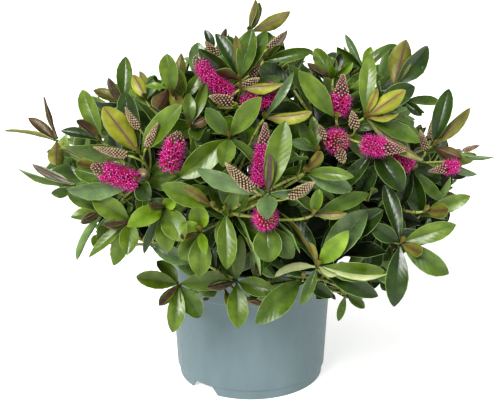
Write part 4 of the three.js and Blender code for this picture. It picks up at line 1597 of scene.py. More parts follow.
@dataclass
class Blossom:
    """All racemes and bud spikes of the plant, with their stalks."""

    crown: Crown
    clearance: float = 2.5
    side_room: float = 4  # how much further than in front of a bloom's face leaves keep from its sides
    depth: float = 50  # from the edge of its mass in to its middle
    stalk_place: float = 44
    stalk_radius: float = 1.0
    stalk_bend: float = 0.4
    raceme_core: float = 3.2
    spike_core: float = 2.6
    floret_spacing: float = 0.31  # mm of raceme for each floret
    floret_reach: float = 0.7  # of the raceme's radius, to the middle of a flower
    lobe_length: float = 3.3
    lobe_width: float = 1.5
    lobe_rise: float = 0.55  # how far the lobes stand up from a flat flower
    stamen_length: float = 3.4
    stamen_spread: float = 0.38
    bead_radius: float = 0.94
    beads_per_mm: float = 4.3
    blooms: list[Bloom] = field(default_factory=list)

    def __post_init__(self) -> None:
        """Place the blooms of the front where they are seen, and others on the masses behind."""
        for front in FRONT_BLOOMS:
            base = on_crown(front.across, front.up, front.shell)
            tip = at_depth(front.tip_across, front.tip_up, seen(base)[2] - front.nearer)
            face = unit(EYE - (base + tip) / 2)
            room = front.radius + front.clearance
            self.blooms.append(Bloom(base, tip, face, front.radius, room, front.share))
        for mass in MASSES:
            if mass.way[1] <= 0:
                continue
            # At the sides they stand on the back of their mass
            if mass.way[1] < 0.45:
                back = 90 if mass.way[0] > 0 else -90
                self._place(RACEME, mass, 14, back)
                self._place(SPIKE, mass, 11, 0.6 * back)
                continue
            turn = 50 * mass.seed
            self._place(RACEME, mass, 8, 40 + turn)
            self._place(SPIKE, mass, 10, 220 + turn)

    def _place(self, plan: BloomPlan, mass: Mass, spread: float, turn: float) -> None:
        """Place one bloom on a mass, some degrees away from its middle."""
        way = aside(mass.bearing, mass.rise, spread, turn)
        lean, tilt = plan.lean * DEGREE, plan.tilt * DEGREE
        axis = outward(mass.bearing, mass.rise) * math.sin(tilt)
        axis = axis + upward(mass.bearing, mass.rise) * math.cos(tilt) * math.cos(lean)
        axis = axis + rightward(mass.bearing) * math.cos(tilt) * math.sin(lean)
        centre = self.crown.place(way, mass.reach - self.depth)
        half = axis * plan.length / 2
        room = plan.radius + self.clearance
        self.blooms.append(Bloom(centre - half, centre + half, way, plan.radius, room, plan.share))

    def hidden_by(self, points: Array) -> bool:
        """Whether points lie on a bloom, or in front of its face."""
        for bloom in self.blooms:
            line = bloom.tip - bloom.base
            way = np.clip((points - bloom.base) @ line / (line @ line), 0, 1)
            apart = points - (bloom.base + way[:, None] * line)
            depth = apart @ bloom.face
            beside = np.linalg.norm(apart - depth[:, None] * bloom.face, axis=1)
            if np.any((depth > 0) & (beside < bloom.room)):
                return True
            if np.any(np.linalg.norm(apart, axis=1) < min(bloom.radius, bloom.room + self.side_room)):
                return True
        return False

    def build(self) -> None:
        """Make the racemes of the front, those of the back and the bud spikes as a piece each."""
        makers = {name: MeshMaker() for name in ("racemes_front", "racemes_back", "bud_spikes")}
        for i, bloom in enumerate(self.blooms):
            side = "racemes_front" if bloom.face[1] < 0 else "racemes_back"
            maker = makers[side if bloom.open else "bud_spikes"]
            random = SeededRandom(900 + i)
            curve = self._bowed(bloom, random)
            self._add_stalk(maker, bloom, curve)
            self._add_core(maker, bloom, curve)
            if bloom.open:
                self._add_florets(maker, bloom, curve, random)
            self._add_buds(maker, bloom, curve, random)
        for name, maker in makers.items():
            piece = maker.make(name, materials_of(Flower))
            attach(piece, "root")
            LOG.info("%s: %d triangles", name, maker.triangles())

    @staticmethod
    def _bowed(bloom: Bloom, random: SeededRandom) -> Curve:
        """The raceme's axis, bowed a little to one side and up towards its tip."""
        frame = bases(bloom.axis[None])[0]
        bow = frame[0] * random.either_way(0.08) + frame[1] * random.either_way(0.05)
        sag = np.array([0, 0, 0.05])
        middle = (bloom.base + bloom.tip) / 2 + (bow - sag) * bloom.length
        return Curve(bloom.base, middle, bloom.tip)

    def _add_stalk(self, maker: MeshMaker, bloom: Bloom, axis: Curve) -> None:
        """Add the stalk that carries a bloom from the nearest shoot."""
        starts = [shoot.curve.point(shoot.place(self.stalk_place)) for shoot in self.crown.shoots]
        start = min(starts, key=lambda place: float(np.linalg.norm(place - bloom.base)))
        back = self.stalk_bend * np.linalg.norm(start - bloom.base)
        end = axis.point(0.08)
        curve = Curve(start, bloom.base - axis.tangent(0) * back, end)
        rings, sides = 9, 6
        radii = np.linspace(1.25, 1.0, rings) * self.stalk_radius
        points = tube(curve, np.linspace(0, 1, rings), radii, sides)
        maker.add(stack(rings, sides), points[None], slot_of(Flower.STALK))

    def _add_core(self, maker: MeshMaker, bloom: Bloom, axis: Curve) -> None:
        """Add the axis, dark plum so that the gaps between the flowers and buds show as painted shade."""
        rings, sides = 12, 8
        along = np.linspace(0, 0.98, rings)
        shares = np.interp(along, [0, 0.15, 0.8, 1], [0.5, 1, 0.8, 0.25])
        radius = self.raceme_core if bloom.open else self.spike_core
        points = tube(axis, along, shares * radius, sides)
        maker.add(stack(rings, sides), points[None], slot_of(Flower.CORE))

    def _add_florets(self, maker: MeshMaker, bloom: Bloom, axis: Curve, random: SeededRandom) -> None:
        """Add the open flowers in a spiral: four narrow lobes and two long stamens each."""
        count = int(bloom.share * bloom.length / self.floret_spacing)
        along = (np.arange(count) + 0.5) / count * bloom.share
        out, ahead = self._spiral(axis, along, random)
        swell = np.interp(along, [0, 0.08, 0.3, 0.7, 1], [0.72, 0.92, 1, 0.86, 0.6])
        scatter = np.array([random.between(0.88, 1.1) for _ in along])
        face = unit(out + ahead * np.interp(along, [0, 1], [-0.1, 0.5])[:, None])
        reach = bloom.radius * self.floret_reach * swell * scatter
        centres = axis.points(along) + face * reach[:, None]
        frames = bases(face)
        spins = np.array([random.draw() for _ in along]) * 2 * math.pi
        tints = [Flower.DEEP, Flower.MAGENTA, Flower.MAGENTA, Flower.PINK]
        lobe = self._lobe()
        for i in range(4):
            way = unit(around(frames, spins + i * math.pi / 2) + face * self.lobe_rise)
            sides = unit(np.cross(face, way))
            sheets = np.stack([sides, np.cross(way, sides), way], axis=1)
            sizes = np.array([random.between(0.85, 1.15) for _ in along]) * (0.8 + 0.2 * swell)
            slots = np.array([slot_of(random.pick(tints)) for _ in along])
            maker.add(lobe, placed(lobe, sheets, centres, sizes), slots[:, None])
        self._add_tubes(maker, axis.points(along), centres)
        self._add_stamens(maker, centres, frames, spins)

    @staticmethod
    def _spiral(axis: Curve, along: Array, random: SeededRandom) -> tuple[Array, Array]:
        """Directions out from the axis on a spiral, and the axis's own direction."""
        ahead = axis.tangents(along)
        start = random.draw() * 2 * math.pi
        angles = start + np.arange(len(along)) * GOLDEN_TURN * DEGREE
        return around(bases(ahead), angles), ahead

    def _lobe(self) -> Shape:
        """A petal lobe: a thin closed leaf shape of eight triangles that curls back."""
        side, long, middle = self.lobe_width / 2, self.lobe_length, 0.5 * self.lobe_length
        belt = [[side, 0.1, middle], [0, 0.25, middle], [-side, 0.1, middle], [0, -0.2, middle]]
        points = np.array([[0, 0, 0], *belt, [0, -0.5, long]], dtype=float)
        corners = [0, 1, 2, 0, 2, 3, 0, 3, 4, 0, 4, 1, 5, 2, 1, 5, 3, 2, 5, 4, 3, 5, 1, 4]
        eight = np.zeros(8, dtype=int)
        return Shape(np.array(corners), np.full(8, 3), eight, eight, points)

    @staticmethod
    def _add_tubes(maker: MeshMaker, roots: Array, centres: Array) -> None:
        """Add the narrow flower tubes from the axis out to the lobes."""
        lengths = np.linalg.norm(centres - roots, axis=1)
        frames = bases((centres - roots) / lengths[:, None])
        shape = lathe([(0.5, 0), (0.55, 0.6), (0.8, 1)], 4)
        scales = np.stack([np.ones_like(lengths), np.ones_like(lengths), lengths], axis=1)
        maker.add(shape, placed(shape, frames, roots, scales), slot_of(Flower.DEEP))

    def _add_stamens(self, maker: MeshMaker, centres: Array, frames: Array, spins: Array) -> None:
        """Add two stamens for each flower, each with its anther."""
        long = self.stamen_length
        thread = lathe([(0.16, 0), (0.12, long)], 3)
        anther = lathe([(0.12, 0), (0.42, 0.5), (0.1, 1.1)], 4)
        for i in (0, 1):
            between = around(frames, spins + math.pi / 4 + math.pi * i)
            ways = unit(frames[:, 2] + between * self.stamen_spread)
            turned = bases(ways)
            maker.add(thread, placed(thread, turned, centres), slot_of(Flower.FILAMENT))
            maker.add(anther, placed(anther, turned, centres + ways * long), slot_of(Flower.ANTHER))

    def _add_buds(self, maker: MeshMaker, bloom: Bloom, axis: Curve, random: SeededRandom) -> None:
        """Add the closed buds in a spiral, smaller and closer towards the tip."""
        first = bloom.share if bloom.open else 0.03
        count = int((1 - first) * bloom.length * self.beads_per_mm)
        along = first + (1 - first) * ((np.arange(count) + 0.5) / count) ** 0.92
        out, ahead = self._spiral(axis, along, random)
        if bloom.open:
            shares = np.interp(along, [0, first, min(0.99, first + 0.15), 1], [0.66, 0.66, 0.5, 0.14])
            radii = bloom.radius * shares
        else:
            radii = bloom.radius * np.interp(along, [0, 0.3, 0.75, 1], [0.62, 0.92, 0.6, 0.12])
        face = unit(out + ahead * np.interp(along, [0, 0.6, 1], [0.5, 0.9, 2.5])[:, None])
        sizes = self.bead_radius * np.interp(along, [0, 0.5, 1], [1.12, 1.04, 0.66])
        bead = lathe([(0.3, -1.1), (0.72, -0.5), (1, 0.4), (0.86, 1.15), (0.3, 1.65)], 5)
        places = axis.points(along) + out * (radii - sizes * 0.7)[:, None]
        plain = np.where(bead.rows >= 2, slot_of(Flower.BEAD_TIP), slot_of(Flower.BEAD_BASE))
        rosy = np.where(bead.rows >= 3, slot_of(Flower.BEAD_TIP), slot_of(Flower.BEAD_PINK))
        # The buds next to the open flowers are the ones that turn pink
        rosy_shares = 0.55 - 0.5 * (along - first) / (1 - first)
        slots = [rosy if bloom.open and random.draw() < share else plain for share in rosy_shares]
        maker.add(bead, placed(bead, bases(face), places, sizes), np.array(slots))


# ---------------------------------------------------------------- leaves and twigs


@dataclass
class Leaf:
    """One leaf: where it is rooted, how it lies, and its tissues."""

    root: Array
    along: Array
    up: Array
    length: float
    width: float
    curl: float
    fold: float
    bend: float
    twist: float
    tissues: tuple[Tissue, ...]  # of its top, underside, midrib, the midrib's underside and edge
    fine: bool
    mass: Mass


@dataclass
class Foliage:
    """All leaves and twigs, in crossed pairs counted down from each shoot's tip."""

    crown: Crown
    blossom: Blossom
    pair_places: tuple[float, ...] = (0, 8, 19, 33, 49, 67, 88, 112)
    leaf_length: float = 64
    leaf_youngest: float = 0.42  # of the full length, at the tip
    leaf_growth: float = 20  # mm from the tip over which most of the growth is made
    leaf_width: float = 0.42  # of its length
    outline: tuple[float, float] = (0.95, 0.82)  # how it narrows to its base and to its tip
    petiole: float = 0.045  # of its length
    petiole_width: float = 2.2
    thickness: float = 0.7
    opening: tuple[float, float, float] = (4, 64, 32)  # degrees at the tip, gain, over mm
    opening_scatter: float = 14
    droop: float = 0.3
    upright_stiffness: float = 0.8
    pair_apart: float = 0.9  # mm, about, between the feet of a pair
    tip_pair_apart: float = 1.2  # and of the closed pair at the tip
    twist: float = 24  # degrees either way
    sizes: float = 0.12  # more or less than usual
    turns: tuple[float, ...] = (0, 22, -22, 44, -44)  # degrees that it may turn aside to find room
    shrinks: tuple[float, ...] = (1.0, 0.84, 0.68)
    foot_room: float = 12  # mm of a shoot's foot without leaves
    inner_leafy: float = 90  # mm of an inner shoot that bears leaves
    meeting_range: float = 58  # leaves whose middles are further apart than this never meet
    pot_radius: float = 97.5  # that leaves keep out of, with room round the pot
    pot_height: float = 149.5
    spray_room: float = 26  # mm of a spray's stem below its joint without further leaves
    # The leaves that are placed by where they are seen; angles are in radians
    seen_curl: float = 0.42
    seen_curl_shares: tuple[float, float] = (0.5, 1.7)
    seen_folds: tuple[float, float] = (0.26, 0.62)
    seen_twist: float = 0.45
    bud_fold: float = 0.55
    bud_half: float = 0.5  # mm from the middle of a folded pair to either leaf
    bud_inner_width: float = 0.7  # of the outer leaf's width
    chord_share: float = 0.43  # of its curl, how far below its foot's direction a leaf's tip is seen
    stem_radius: float = 1.2
    ripple: float = 0.16
    ripple_turn: float = 9.0  # radians over the length of a leaf
    ripple_start: tuple[float, float, float] = (0.9, 0.7, 0.5)  # radians for each mm of its root's place
    fine_pairs: int = 6  # how many pairs of an outer shoot have the finer rings
    fine_rings: tuple[float, ...] = (0, 0.045, 0.12, 0.22, 0.36, 0.52, 0.68, 0.82, 0.92, 0.975, 1)
    plain_rings: tuple[float, ...] = (0, 0.05, 0.18, 0.38, 0.6, 0.8, 0.94, 1)
    top_across: tuple[float, ...] = (-1, -0.95, -0.5, -0.04, 0.04, 0.5, 0.95, 1)
    under_across: tuple[float, ...] = (0.95, 0.5, 0.06, -0.06, -0.5, -0.95)
    # The faces between those points are counted round the leaf from the top's left edge
    rib_column: int = 3
    under_rib_column: int = 10
    edge_columns: tuple[int, ...] = (0, 6, 7, 13)
    tip_clear: float = 3  # mm of a twig's tip without a joint
    foot_clear: float = 6  # and of its foot
    twig_sides: int = 7
    twig_tip_radius: float = 1.15
    leader_end: float = 30  # mm from the tip at which a leafless leader ends
    ripened: float = 100  # mm from the tip at which a twig's bark turns brown
    joint_swell: tuple[tuple[float, float], ...] = ((-2.4, 1.0), (-0.8, 1.3), (0.8, 1.35), (2.6, 1.05))
    most_leaves: int = 6000
    leaves: list[Leaf] = field(default_factory=list)

    def __post_init__(self) -> None:
        """Grow all leaves: those of the front sprays, then all others, the youngest first."""
        self._middles = np.zeros((self.most_leaves, 3))
        self._nets: list[BVHTree] = []
        self._owners: list[int] = []
        self._tops: dict[int, float] = {}
        random = SeededRandom(11)
        manner = SeededRandom(29)
        for spray in FRONT_SPRAYS:
            for leaf in (*spray.leaves, *spray.shoot_tip()):
                self._grow_seen(spray, leaf, manner)
        # The leaves of the front sprays, as they are seen: no other may hide them
        guards = list(self.leaves)
        ends = seen(np.array([[leaf.root, leaf.root + leaf.along * leaf.length] for leaf in guards]))
        self._guard_feet, self._guard_tips = ends[:, 0], ends[:, 1]
        self._guard_widths = self._each(guards, "width") * VIEW_DISTANCE / ends[:, 0, 2]
        for pair, distance in enumerate(self.pair_places):
            for number, shoot in enumerate(self.crown.shoots):
                if distance > shoot.curve.length - self.foot_room:
                    continue
                if shoot.kind is ShootKind.SPRAY and distance < self.spray_room:
                    continue
                if shoot.kind is ShootKind.INNER and distance > self.inner_leafy:
                    continue
                for half in (0, 1):
                    self._grow_leaf(number, shoot, pair, half, distance, random)

    # -- growing

    def _grow_seen(self, spray: FrontSpray, seen_leaf: SeenLeaf, random: SeededRandom) -> None:
        """Grow a leaf of a front spray from its joint to where its tip is seen."""
        foot, tip = spray.place, spray.tip(seen_leaf)
        chord = unit(tip - foot)
        to_eye = unit(EYE - tip)
        facing = rotated(unit(to_eye - chord * float(to_eye @ chord)), chord, seen_leaf.turn * DEGREE)
        top, under, under_rib = seen_leaf.look.value
        bud = seen_leaf.look.folded
        edge = Tissue.UNDER_YOUNG if bud else Tissue.MARGIN
        curl = 0.0 if bud else self.seen_curl * random.between(*self.seen_curl_shares)
        fold = self.bud_fold if bud else random.between(*self.seen_folds)
        twist = 0.0 if bud else random.either_way(self.seen_twist)
        for up in (facing, -facing) if bud else (facing,):
            # It sets out above the straight line, so that its curl brings the tip down on its place,
            # and is longer than that line by what an arc is
            along = unit(chord + up * math.tan(self.chord_share * curl))
            leaf = Leaf(
                root=foot + chord * self.stem_radius - (up * self.bud_half if bud else 0),
                along=along,
                up=unit(up - along * float(up @ along)),
                length=float(np.linalg.norm(tip - foot)) * (1 + curl**2 / 24),
                width=seen_leaf.width * (self.bud_inner_width if bud and up is facing else 1),
                curl=curl,
                fold=fold,
                bend=0.0,
                twist=twist,
                tissues=(top, under, top, under_rib, edge),
                fine=True,
                mass=nearest_mass(spray.way),
            )
            self._keep(leaf, -1)

    def _keep(self, leaf: Leaf, owner: int) -> None:
        """Keep a leaf, and the net that others are tried against."""
        grid = self._grid(leaf)
        count = len(self._nets)
        self._middles[count] = grid[7]
        self._nets.append(self._net(grid))
        self._owners.append(owner)
        self.leaves.append(leaf)

    def _grid(self, leaf: Leaf) -> Array:
        """Fifteen points of a leaf: five rows of three."""
        return self._points([leaf], (0.0, 0.25, 0.5, 0.75, 1.0), (-1.0, 0.0, 1.0), ())[0]

    @staticmethod
    def _net(grid: Array) -> BVHTree:
        """A coarse leaf to try others against."""
        quads = [(a, a + 1, a + 4, a + 3) for row in range(4) for a in (3 * row, 3 * row + 1)]
        return BVHTree.FromPolygons(grid.tolist(), quads)

    def _covers(self, grid: Array) -> bool:
        """Whether points hide a leaf of a front spray from the front."""
        places = seen(grid)[:, None]
        feet, line = self._guard_feet, self._guard_tips - self._guard_feet
        flat = line[:, :2]
        off = places[..., :2] - feet[:, :2]
        way = np.clip(np.sum(off * flat, axis=-1) / np.sum(flat**2, axis=-1), 0.1, 0.95)
        apart = np.linalg.norm(off - way[..., None] * flat, axis=-1)
        nearer = places[..., 2] < feet[:, 2] + way * line[:, 2]
        return bool(np.any(nearer & (apart < 0.5 * self._guard_widths)))

    def _grow_leaf(
        self, number: int, shoot: Shoot, pair: int, half: int, distance: float, random: SeededRandom
    ) -> None:
        """Grow one leaf where it has room; it may turn aside or stay smaller to find it."""
        size = 1 + random.either_way(self.sizes)
        twist = random.either_way(self.twist) * DEGREE if pair > 0 else 0.0
        manner = [random.draw() for _ in range(4)]
        for shrink in self.shrinks:
            for turn in self.turns if pair > 1 else (0,):
                angle = shoot.roll + math.pi / 2 * pair + math.pi * half + turn * DEGREE
                leaf = self._leaf(shoot, pair, distance, angle, size * shrink, twist, manner)
                if self._settles(leaf, number, pair):
                    self._tops.setdefault(number, distance)
                    return

    def _leaf(
        self,
        shoot: Shoot,
        pair: int,
        distance: float,
        angle: float,
        size: float,
        twist: float,
        manner: Sequence[float],
    ) -> Leaf:
        """Shape one leaf by its age.

        Args:
            shoot: The shoot that carries it.
            pair: The number of its pair, from the tip.
            distance: From the shoot's tip, in millimetres.
            angle: Round the shoot, in radians.
            size: Of its usual size.
            twist: About its own length, in radians.
            manner: Four numbers from 0 to 1 that make it differ from its neighbours.

        Returns:
            The leaf.
        """
        way = shoot.place(distance)
        ahead = shoot.curve.tangent(way)
        level, above = square_to(ahead)
        side = level * math.cos(angle) + above * math.sin(angle)
        least, gain, over = self.opening
        age = 1 - math.exp(-distance / over)
        spread = (least + gain * age + (manner[0] - 0.5) * self.opening_scatter * age) * DEGREE
        along = ahead * math.cos(spread) + side * math.sin(spread)
        # The leaves of an upright shoot droop less
        level_share = 1 - self.upright_stiffness * max(0.0, float(ahead[2]))
        along = unit(along + np.array([0, 0, -self.droop * age * level_share]))
        up = unit(ahead - along * float(ahead @ along))
        up = rotated(up, along, twist)
        # The youngest leaves are the shortest, and the slimmest for their length
        growth = 1 - math.exp(-distance / self.leaf_growth)
        length = self.leaf_length * (self.leaf_youngest + (1 - self.leaf_youngest) * growth) * size
        width = self.leaf_width * (0.93 + 0.14 * manner[1]) * (0.62 + 0.38 * growth) * length
        apart = self.tip_pair_apart if pair == 0 else self.pair_apart
        # Young leaves bend in and are folded; with age they curl back, flatten and turn their own way
        return Leaf(
            root=shoot.curve.point(way) + along * 0.4 + side * apart * 0.6,
            along=along,
            up=up,
            length=length,
            width=width,
            curl=-0.22 + 0.75 * age * (0.5 + manner[2]),
            fold=0.75 - 0.5 * age if pair else 0.95,
            bend=(manner[3] - 0.5) * 0.5 * age,
            twist=(manner[0] - 0.5) * 0.7 * age,
            tissues=self._tissues(shoot, pair, manner),
            fine=pair < self.fine_pairs and shoot.kind is not ShootKind.INNER,
            mass=shoot.mass,
        )

    @staticmethod
    def _tissues(shoot: Shoot, pair: int, manner: Sequence[float]) -> tuple[Tissue, ...]:
        """The tissues of a leaf, by its age and by how much sun its mass has."""
        tops = [Tissue.TOP_LIME, Tissue.TOP_FRESH, Tissue.TOP_MID, Tissue.TOP_GROWN, Tissue.TOP_DEEP]
        # Older pairs are darker; inner shoots, deep in the crown, and the right of the crown, which has
        # less sun, get darker tops as painted shade
        depth = 1.6 if shoot.kind is ShootKind.INNER else 0.0
        shade = (1.5 if shoot.mass.way[0] > 0 else 0.7) * float(shoot.mass.way[0])
        ripeness_and_shade = 0.5 + 0.62 * pair + depth + shade + 1.3 * (manner[1] - 0.5) - 1.1 * (shoot.vigour - 0.5)
        top = tops[int(np.clip(ripeness_and_shade, 0, 4))]
        bronzed = shoot.vigour > 0.6
        rib = Tissue.RIB_PALE if manner[2] > 0.7 else top
        if pair == 0:
            return Tissue.TOP_FRESH, Tissue.BUD_PLUM, Tissue.RIB_PALE, Tissue.RIB_PLUM, Tissue.UNDER_YOUNG
        if pair == 1:
            under = Tissue.UNDER_BRONZE if bronzed else Tissue.UNDER_YOUNG
            return top, under, rib, Tissue.RIB_PLUM, Tissue.MARGIN
        if pair == 2:
            under = Tissue.UNDER_YOUNG if bronzed else Tissue.UNDER_SAGE
            return top, under, rib, Tissue.RIB_PLUM, Tissue.MARGIN
        return top, Tissue.UNDER_SAGE, rib, Tissue.RIB_PALE, Tissue.MARGIN

    def _settles(self, leaf: Leaf, number: int, pair: int) -> bool:
        """Keep a leaf if it meets nothing.

        Args:
            leaf: The leaf to try.
            number: The number of its shoot.
            pair: The number of its pair; the folded pair at the tip is not tried against others.

        Returns:
            Whether it was kept.
        """
        grid = self._grid(leaf)
        inside = (np.hypot(grid[:, 0], grid[:, 1]) < self.pot_radius) & (grid[:, 2] < self.pot_height)
        if np.any(inside) or not in_outline(grid[3:]):
            return False
        if self.blossom.hidden_by(grid[3:]) or self._covers(grid):
            return False
        net = self._net(grid)
        middle = grid[7]
        count = len(self._nets)
        near = np.linalg.norm(self._middles[:count] - middle, axis=1) < self.meeting_range
        for other in np.flatnonzero(near) if pair > 0 else ():
            if self._owners[other] != number and self._nets[other].overlap(net):
                return False
        self._keep(leaf, number)
        return True

    # -- shaping

    def _points(
        self, leaves: Sequence[Leaf], rings: Sequence[float], top: Sequence[float], under: Sequence[float]
    ) -> Array:
        """Points of many leaves.

        Args:
            leaves: The leaves.
            rings: Shares of their length at which there is a ring of points.
            top: Where the points of the top face lie across it, from -1 to 1.
            under: Where those of the underside lie, going back.

        Returns:
            The points, (leaves, rings * points in a ring, 3).
        """
        u = np.array(rings)
        root, along, up = (self._each(leaves, name) for name in ("root", "along", "up"))
        side = np.cross(up, along)
        length, curl, bend = (self._each(leaves, name) for name in ("length", "curl", "bend"))
        # Direction of the midrib at each ring
        down = -curl[:, None] * u**1.3
        aslant = bend[:, None] * u
        ahead = (
            (np.cos(down) * np.cos(aslant))[..., None] * along[:, None]
            + np.sin(down)[..., None] * up[:, None]
            + (np.cos(down) * np.sin(aslant))[..., None] * side[:, None]
        )
        steps = (ahead[:, 1:] + ahead[:, :-1]) / 2 * (np.diff(u)[None, :, None] * length[:, None, None])
        starts = np.zeros_like(root)[:, None]
        line = root[:, None] + np.concatenate([starts, np.cumsum(steps, axis=1)], axis=1)
        over = -np.sin(down)[..., None] * along[:, None] + np.cos(down)[..., None] * up[:, None]
        wide = unit(np.cross(over, ahead))
        over = np.cross(ahead, wide)
        spin = self._each(leaves, "twist")[:, None] * u
        cos, sin = np.cos(spin)[..., None], np.sin(spin)[..., None]
        wide, over = cos * wide + sin * over, cos * over - sin * wide
        half = self._half_widths(u, self._each(leaves, "width"))
        places = np.array([*top, *under])
        # The margin ripples, each half of the blade its own way
        wave = self.ripple * np.sin(self.ripple_turn * u[None] + (root @ self.ripple_start)[:, None])
        fold = self._each(leaves, "fold")[:, None, None] + wave[..., None] * np.sign(places)
        lift = fold * half[..., None] * np.abs(places) ** 1.25
        # The underside lies below the top by the blade's thickness, and its midrib stands out
        depth = self.thickness * np.array([0.0] * len(top) + [1.7 if abs(x) < 0.1 else 1.0 for x in under])
        thin = np.interp(u, [0, 0.06, 0.5, 1], [1.9, 1.3, 1, 0.5])
        height = lift - depth[None, None] * thin[None, :, None]
        points = (
            line[:, :, None]
            + wide[:, :, None] * (half[..., None] * places)[..., None]
            + over[:, :, None] * height[..., None]
        )
        return points.reshape(len(leaves), -1, 3)

    @staticmethod
    def _each(leaves: Sequence[Leaf], name: str) -> Array:
        """One measure of every leaf."""
        return np.array([getattr(leaf, name) for leaf in leaves])

    def _half_widths(self, u: Array, width: Array) -> Array:
        """Half the width at each ring: a short petiole, then a long ellipse."""
        blade = np.clip((u - self.petiole) / (1 - self.petiole), 0, 1)
        base, tip = self.outline
        widest = base / (base + tip)
        outline = blade**base * (1 - blade) ** tip / (widest**base * (1 - widest) ** tip)
        least = self.petiole_width / 2 * np.interp(u, [0, 0.3, 1], [1, 0.6, 0.16])
        return np.maximum(width[:, None] / 2 * outline, least)

    def _slots(self, leaves: Sequence[Leaf], shape: Shape) -> Array:
        """Material slot of every face of the leaves, by where it lies on its leaf."""
        numbers = np.array([[slot_of(tissue) for tissue in leaf.tissues] for leaf in leaves])
        top, under, rib, under_rib, edge = numbers.T[..., None]
        column = shape.columns[None]
        slots = np.where(column < len(self.top_across) - 1, top, under)
        slots = np.where(column == self.rib_column, rib, slots)
        slots = np.where(column == self.under_rib_column, under_rib, slots)
        slots = np.where(np.isin(column, self.edge_columns), edge, slots)
        petiole = (shape.rows[None] == 0) | (column == -1)
        return np.where(petiole, rib, slots)

    # -- building

    def build_leaves(self) -> None:
        """Make the leaves of each mass as one piece, in place of the mass's solid."""
        for mass in MASSES:
            maker = MeshMaker()
            mine = [leaf for leaf in self.leaves if leaf.mass is mass]
            for fine, rings in ((True, self.fine_rings), (False, self.plain_rings)):
                group = [leaf for leaf in mine if leaf.fine is fine]
                if not group:
                    continue
                shape = stack(len(rings), len(self.top_across) + len(self.under_across))
                # The ring runs clockwise seen from the leaf's tip, so its faces are turned over
                shape = replace(shape, corners=self._turned_over(shape))
                points = self._points(group, rings, self.top_across, self.under_across)
                maker.add(shape, points, self._slots(group, shape), self._places(group, rings))
            piece = maker.make(f"leaves_{mass.name}", materials_of(Tissue))
            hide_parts(f"foliage_{mass.name}")
            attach(piece, "root")
            LOG.info("%s: %d leaves, %d triangles", piece.name, len(mine), maker.triangles())

    @staticmethod
    def _turned_over(shape: Shape) -> Array:
        """The corners of a shape with the order round each face reversed."""
        ends = np.cumsum(shape.sizes)
        faces = [shape.corners[end - size : end][::-1] for end, size in zip(ends, shape.sizes)]
        return np.concatenate(faces)

    def _places(self, leaves: Sequence[Leaf], rings: Sequence[float]) -> Array:
        """Where each point lies on its leaf: across it, and along it from the root."""
        u = np.array(rings)
        length = self._each(leaves, "length")
        half = self._half_widths(u, self._each(leaves, "width"))
        out = half[..., None] * np.array([*self.top_across, *self.under_across])
        on = np.broadcast_to((u[None] * length[:, None])[..., None], out.shape)
        return np.stack([out, on], axis=-1).reshape(len(leaves), -1, 2)

    def build_twigs(self) -> None:
        """Make the twigs of each tier as one piece."""
        for tier in TIERS:
            maker = MeshMaker()
            for number, shoot in enumerate(self.crown.shoots):
                if shoot.mass.name.startswith(tier.name):
                    self._add_twig(maker, shoot, self._top(number, shoot))
            piece = maker.make(f"twigs_{tier.name}", materials_of(StemTissue))
            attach(piece, "root")
            LOG.info("%s: %d triangles", piece.name, maker.triangles())

    def _top(self, number: int, shoot: Shoot) -> float:
        """How far from its tip a shoot ends, so that no bare end stands out.

        A shoot that bears no leaf at all is left out, but a leader still carries the others.
        """
        if shoot.kind is ShootKind.SPRAY:
            return 0.0
        leafless = self.leader_end if shoot.kind is ShootKind.LEADER else shoot.curve.length
        return self._tops.get(number, leafless)

    def _add_twig(self, maker: MeshMaker, shoot: Shoot, top: float) -> None:
        """Add one twig, swollen and dark at the joints where its leaves stand."""
        length = shoot.curve.length
        if top >= length:
            return
        joints = [d for d in self.pair_places if top + self.tip_clear < d < length - self.foot_clear]
        # Each ring by its distance from the tip: how much it is swollen, and whether it is dark
        marks = {top: (0.9, False), length: (1.0, False)}
        for joint in joints:
            for offset, swell in self.joint_swell:
                marks[round(joint + offset, 3)] = (swell, abs(offset) < 1)
        distances = sorted(d for d in marks if top <= d <= length)[::-1]
        along = 1 - np.array(distances) / length
        swells = [marks[d][0] for d in distances]
        radii = np.interp(along, [0, 1], [shoot.foot_radius, self.twig_tip_radius]) * swells
        shape = stack(len(along), self.twig_sides)
        ring_old = np.array([d > self.ripened for d in distances])
        ring_joint = np.array([marks[d][1] for d in distances])
        rows = shape.rows
        slots = np.where(ring_old[rows], slot_of(StemTissue.OLD), slot_of(StemTissue.GREEN))
        dark = ring_joint[rows] & ring_joint[np.minimum(rows + 1, len(distances) - 1)]
        slots = np.where(dark, slot_of(StemTissue.NODE), slots)
        maker.add(shape, tube(shoot.curve, along, radii, self.twig_sides)[None], slots)


# ---------------------------------------------------------------- trunk and boughs


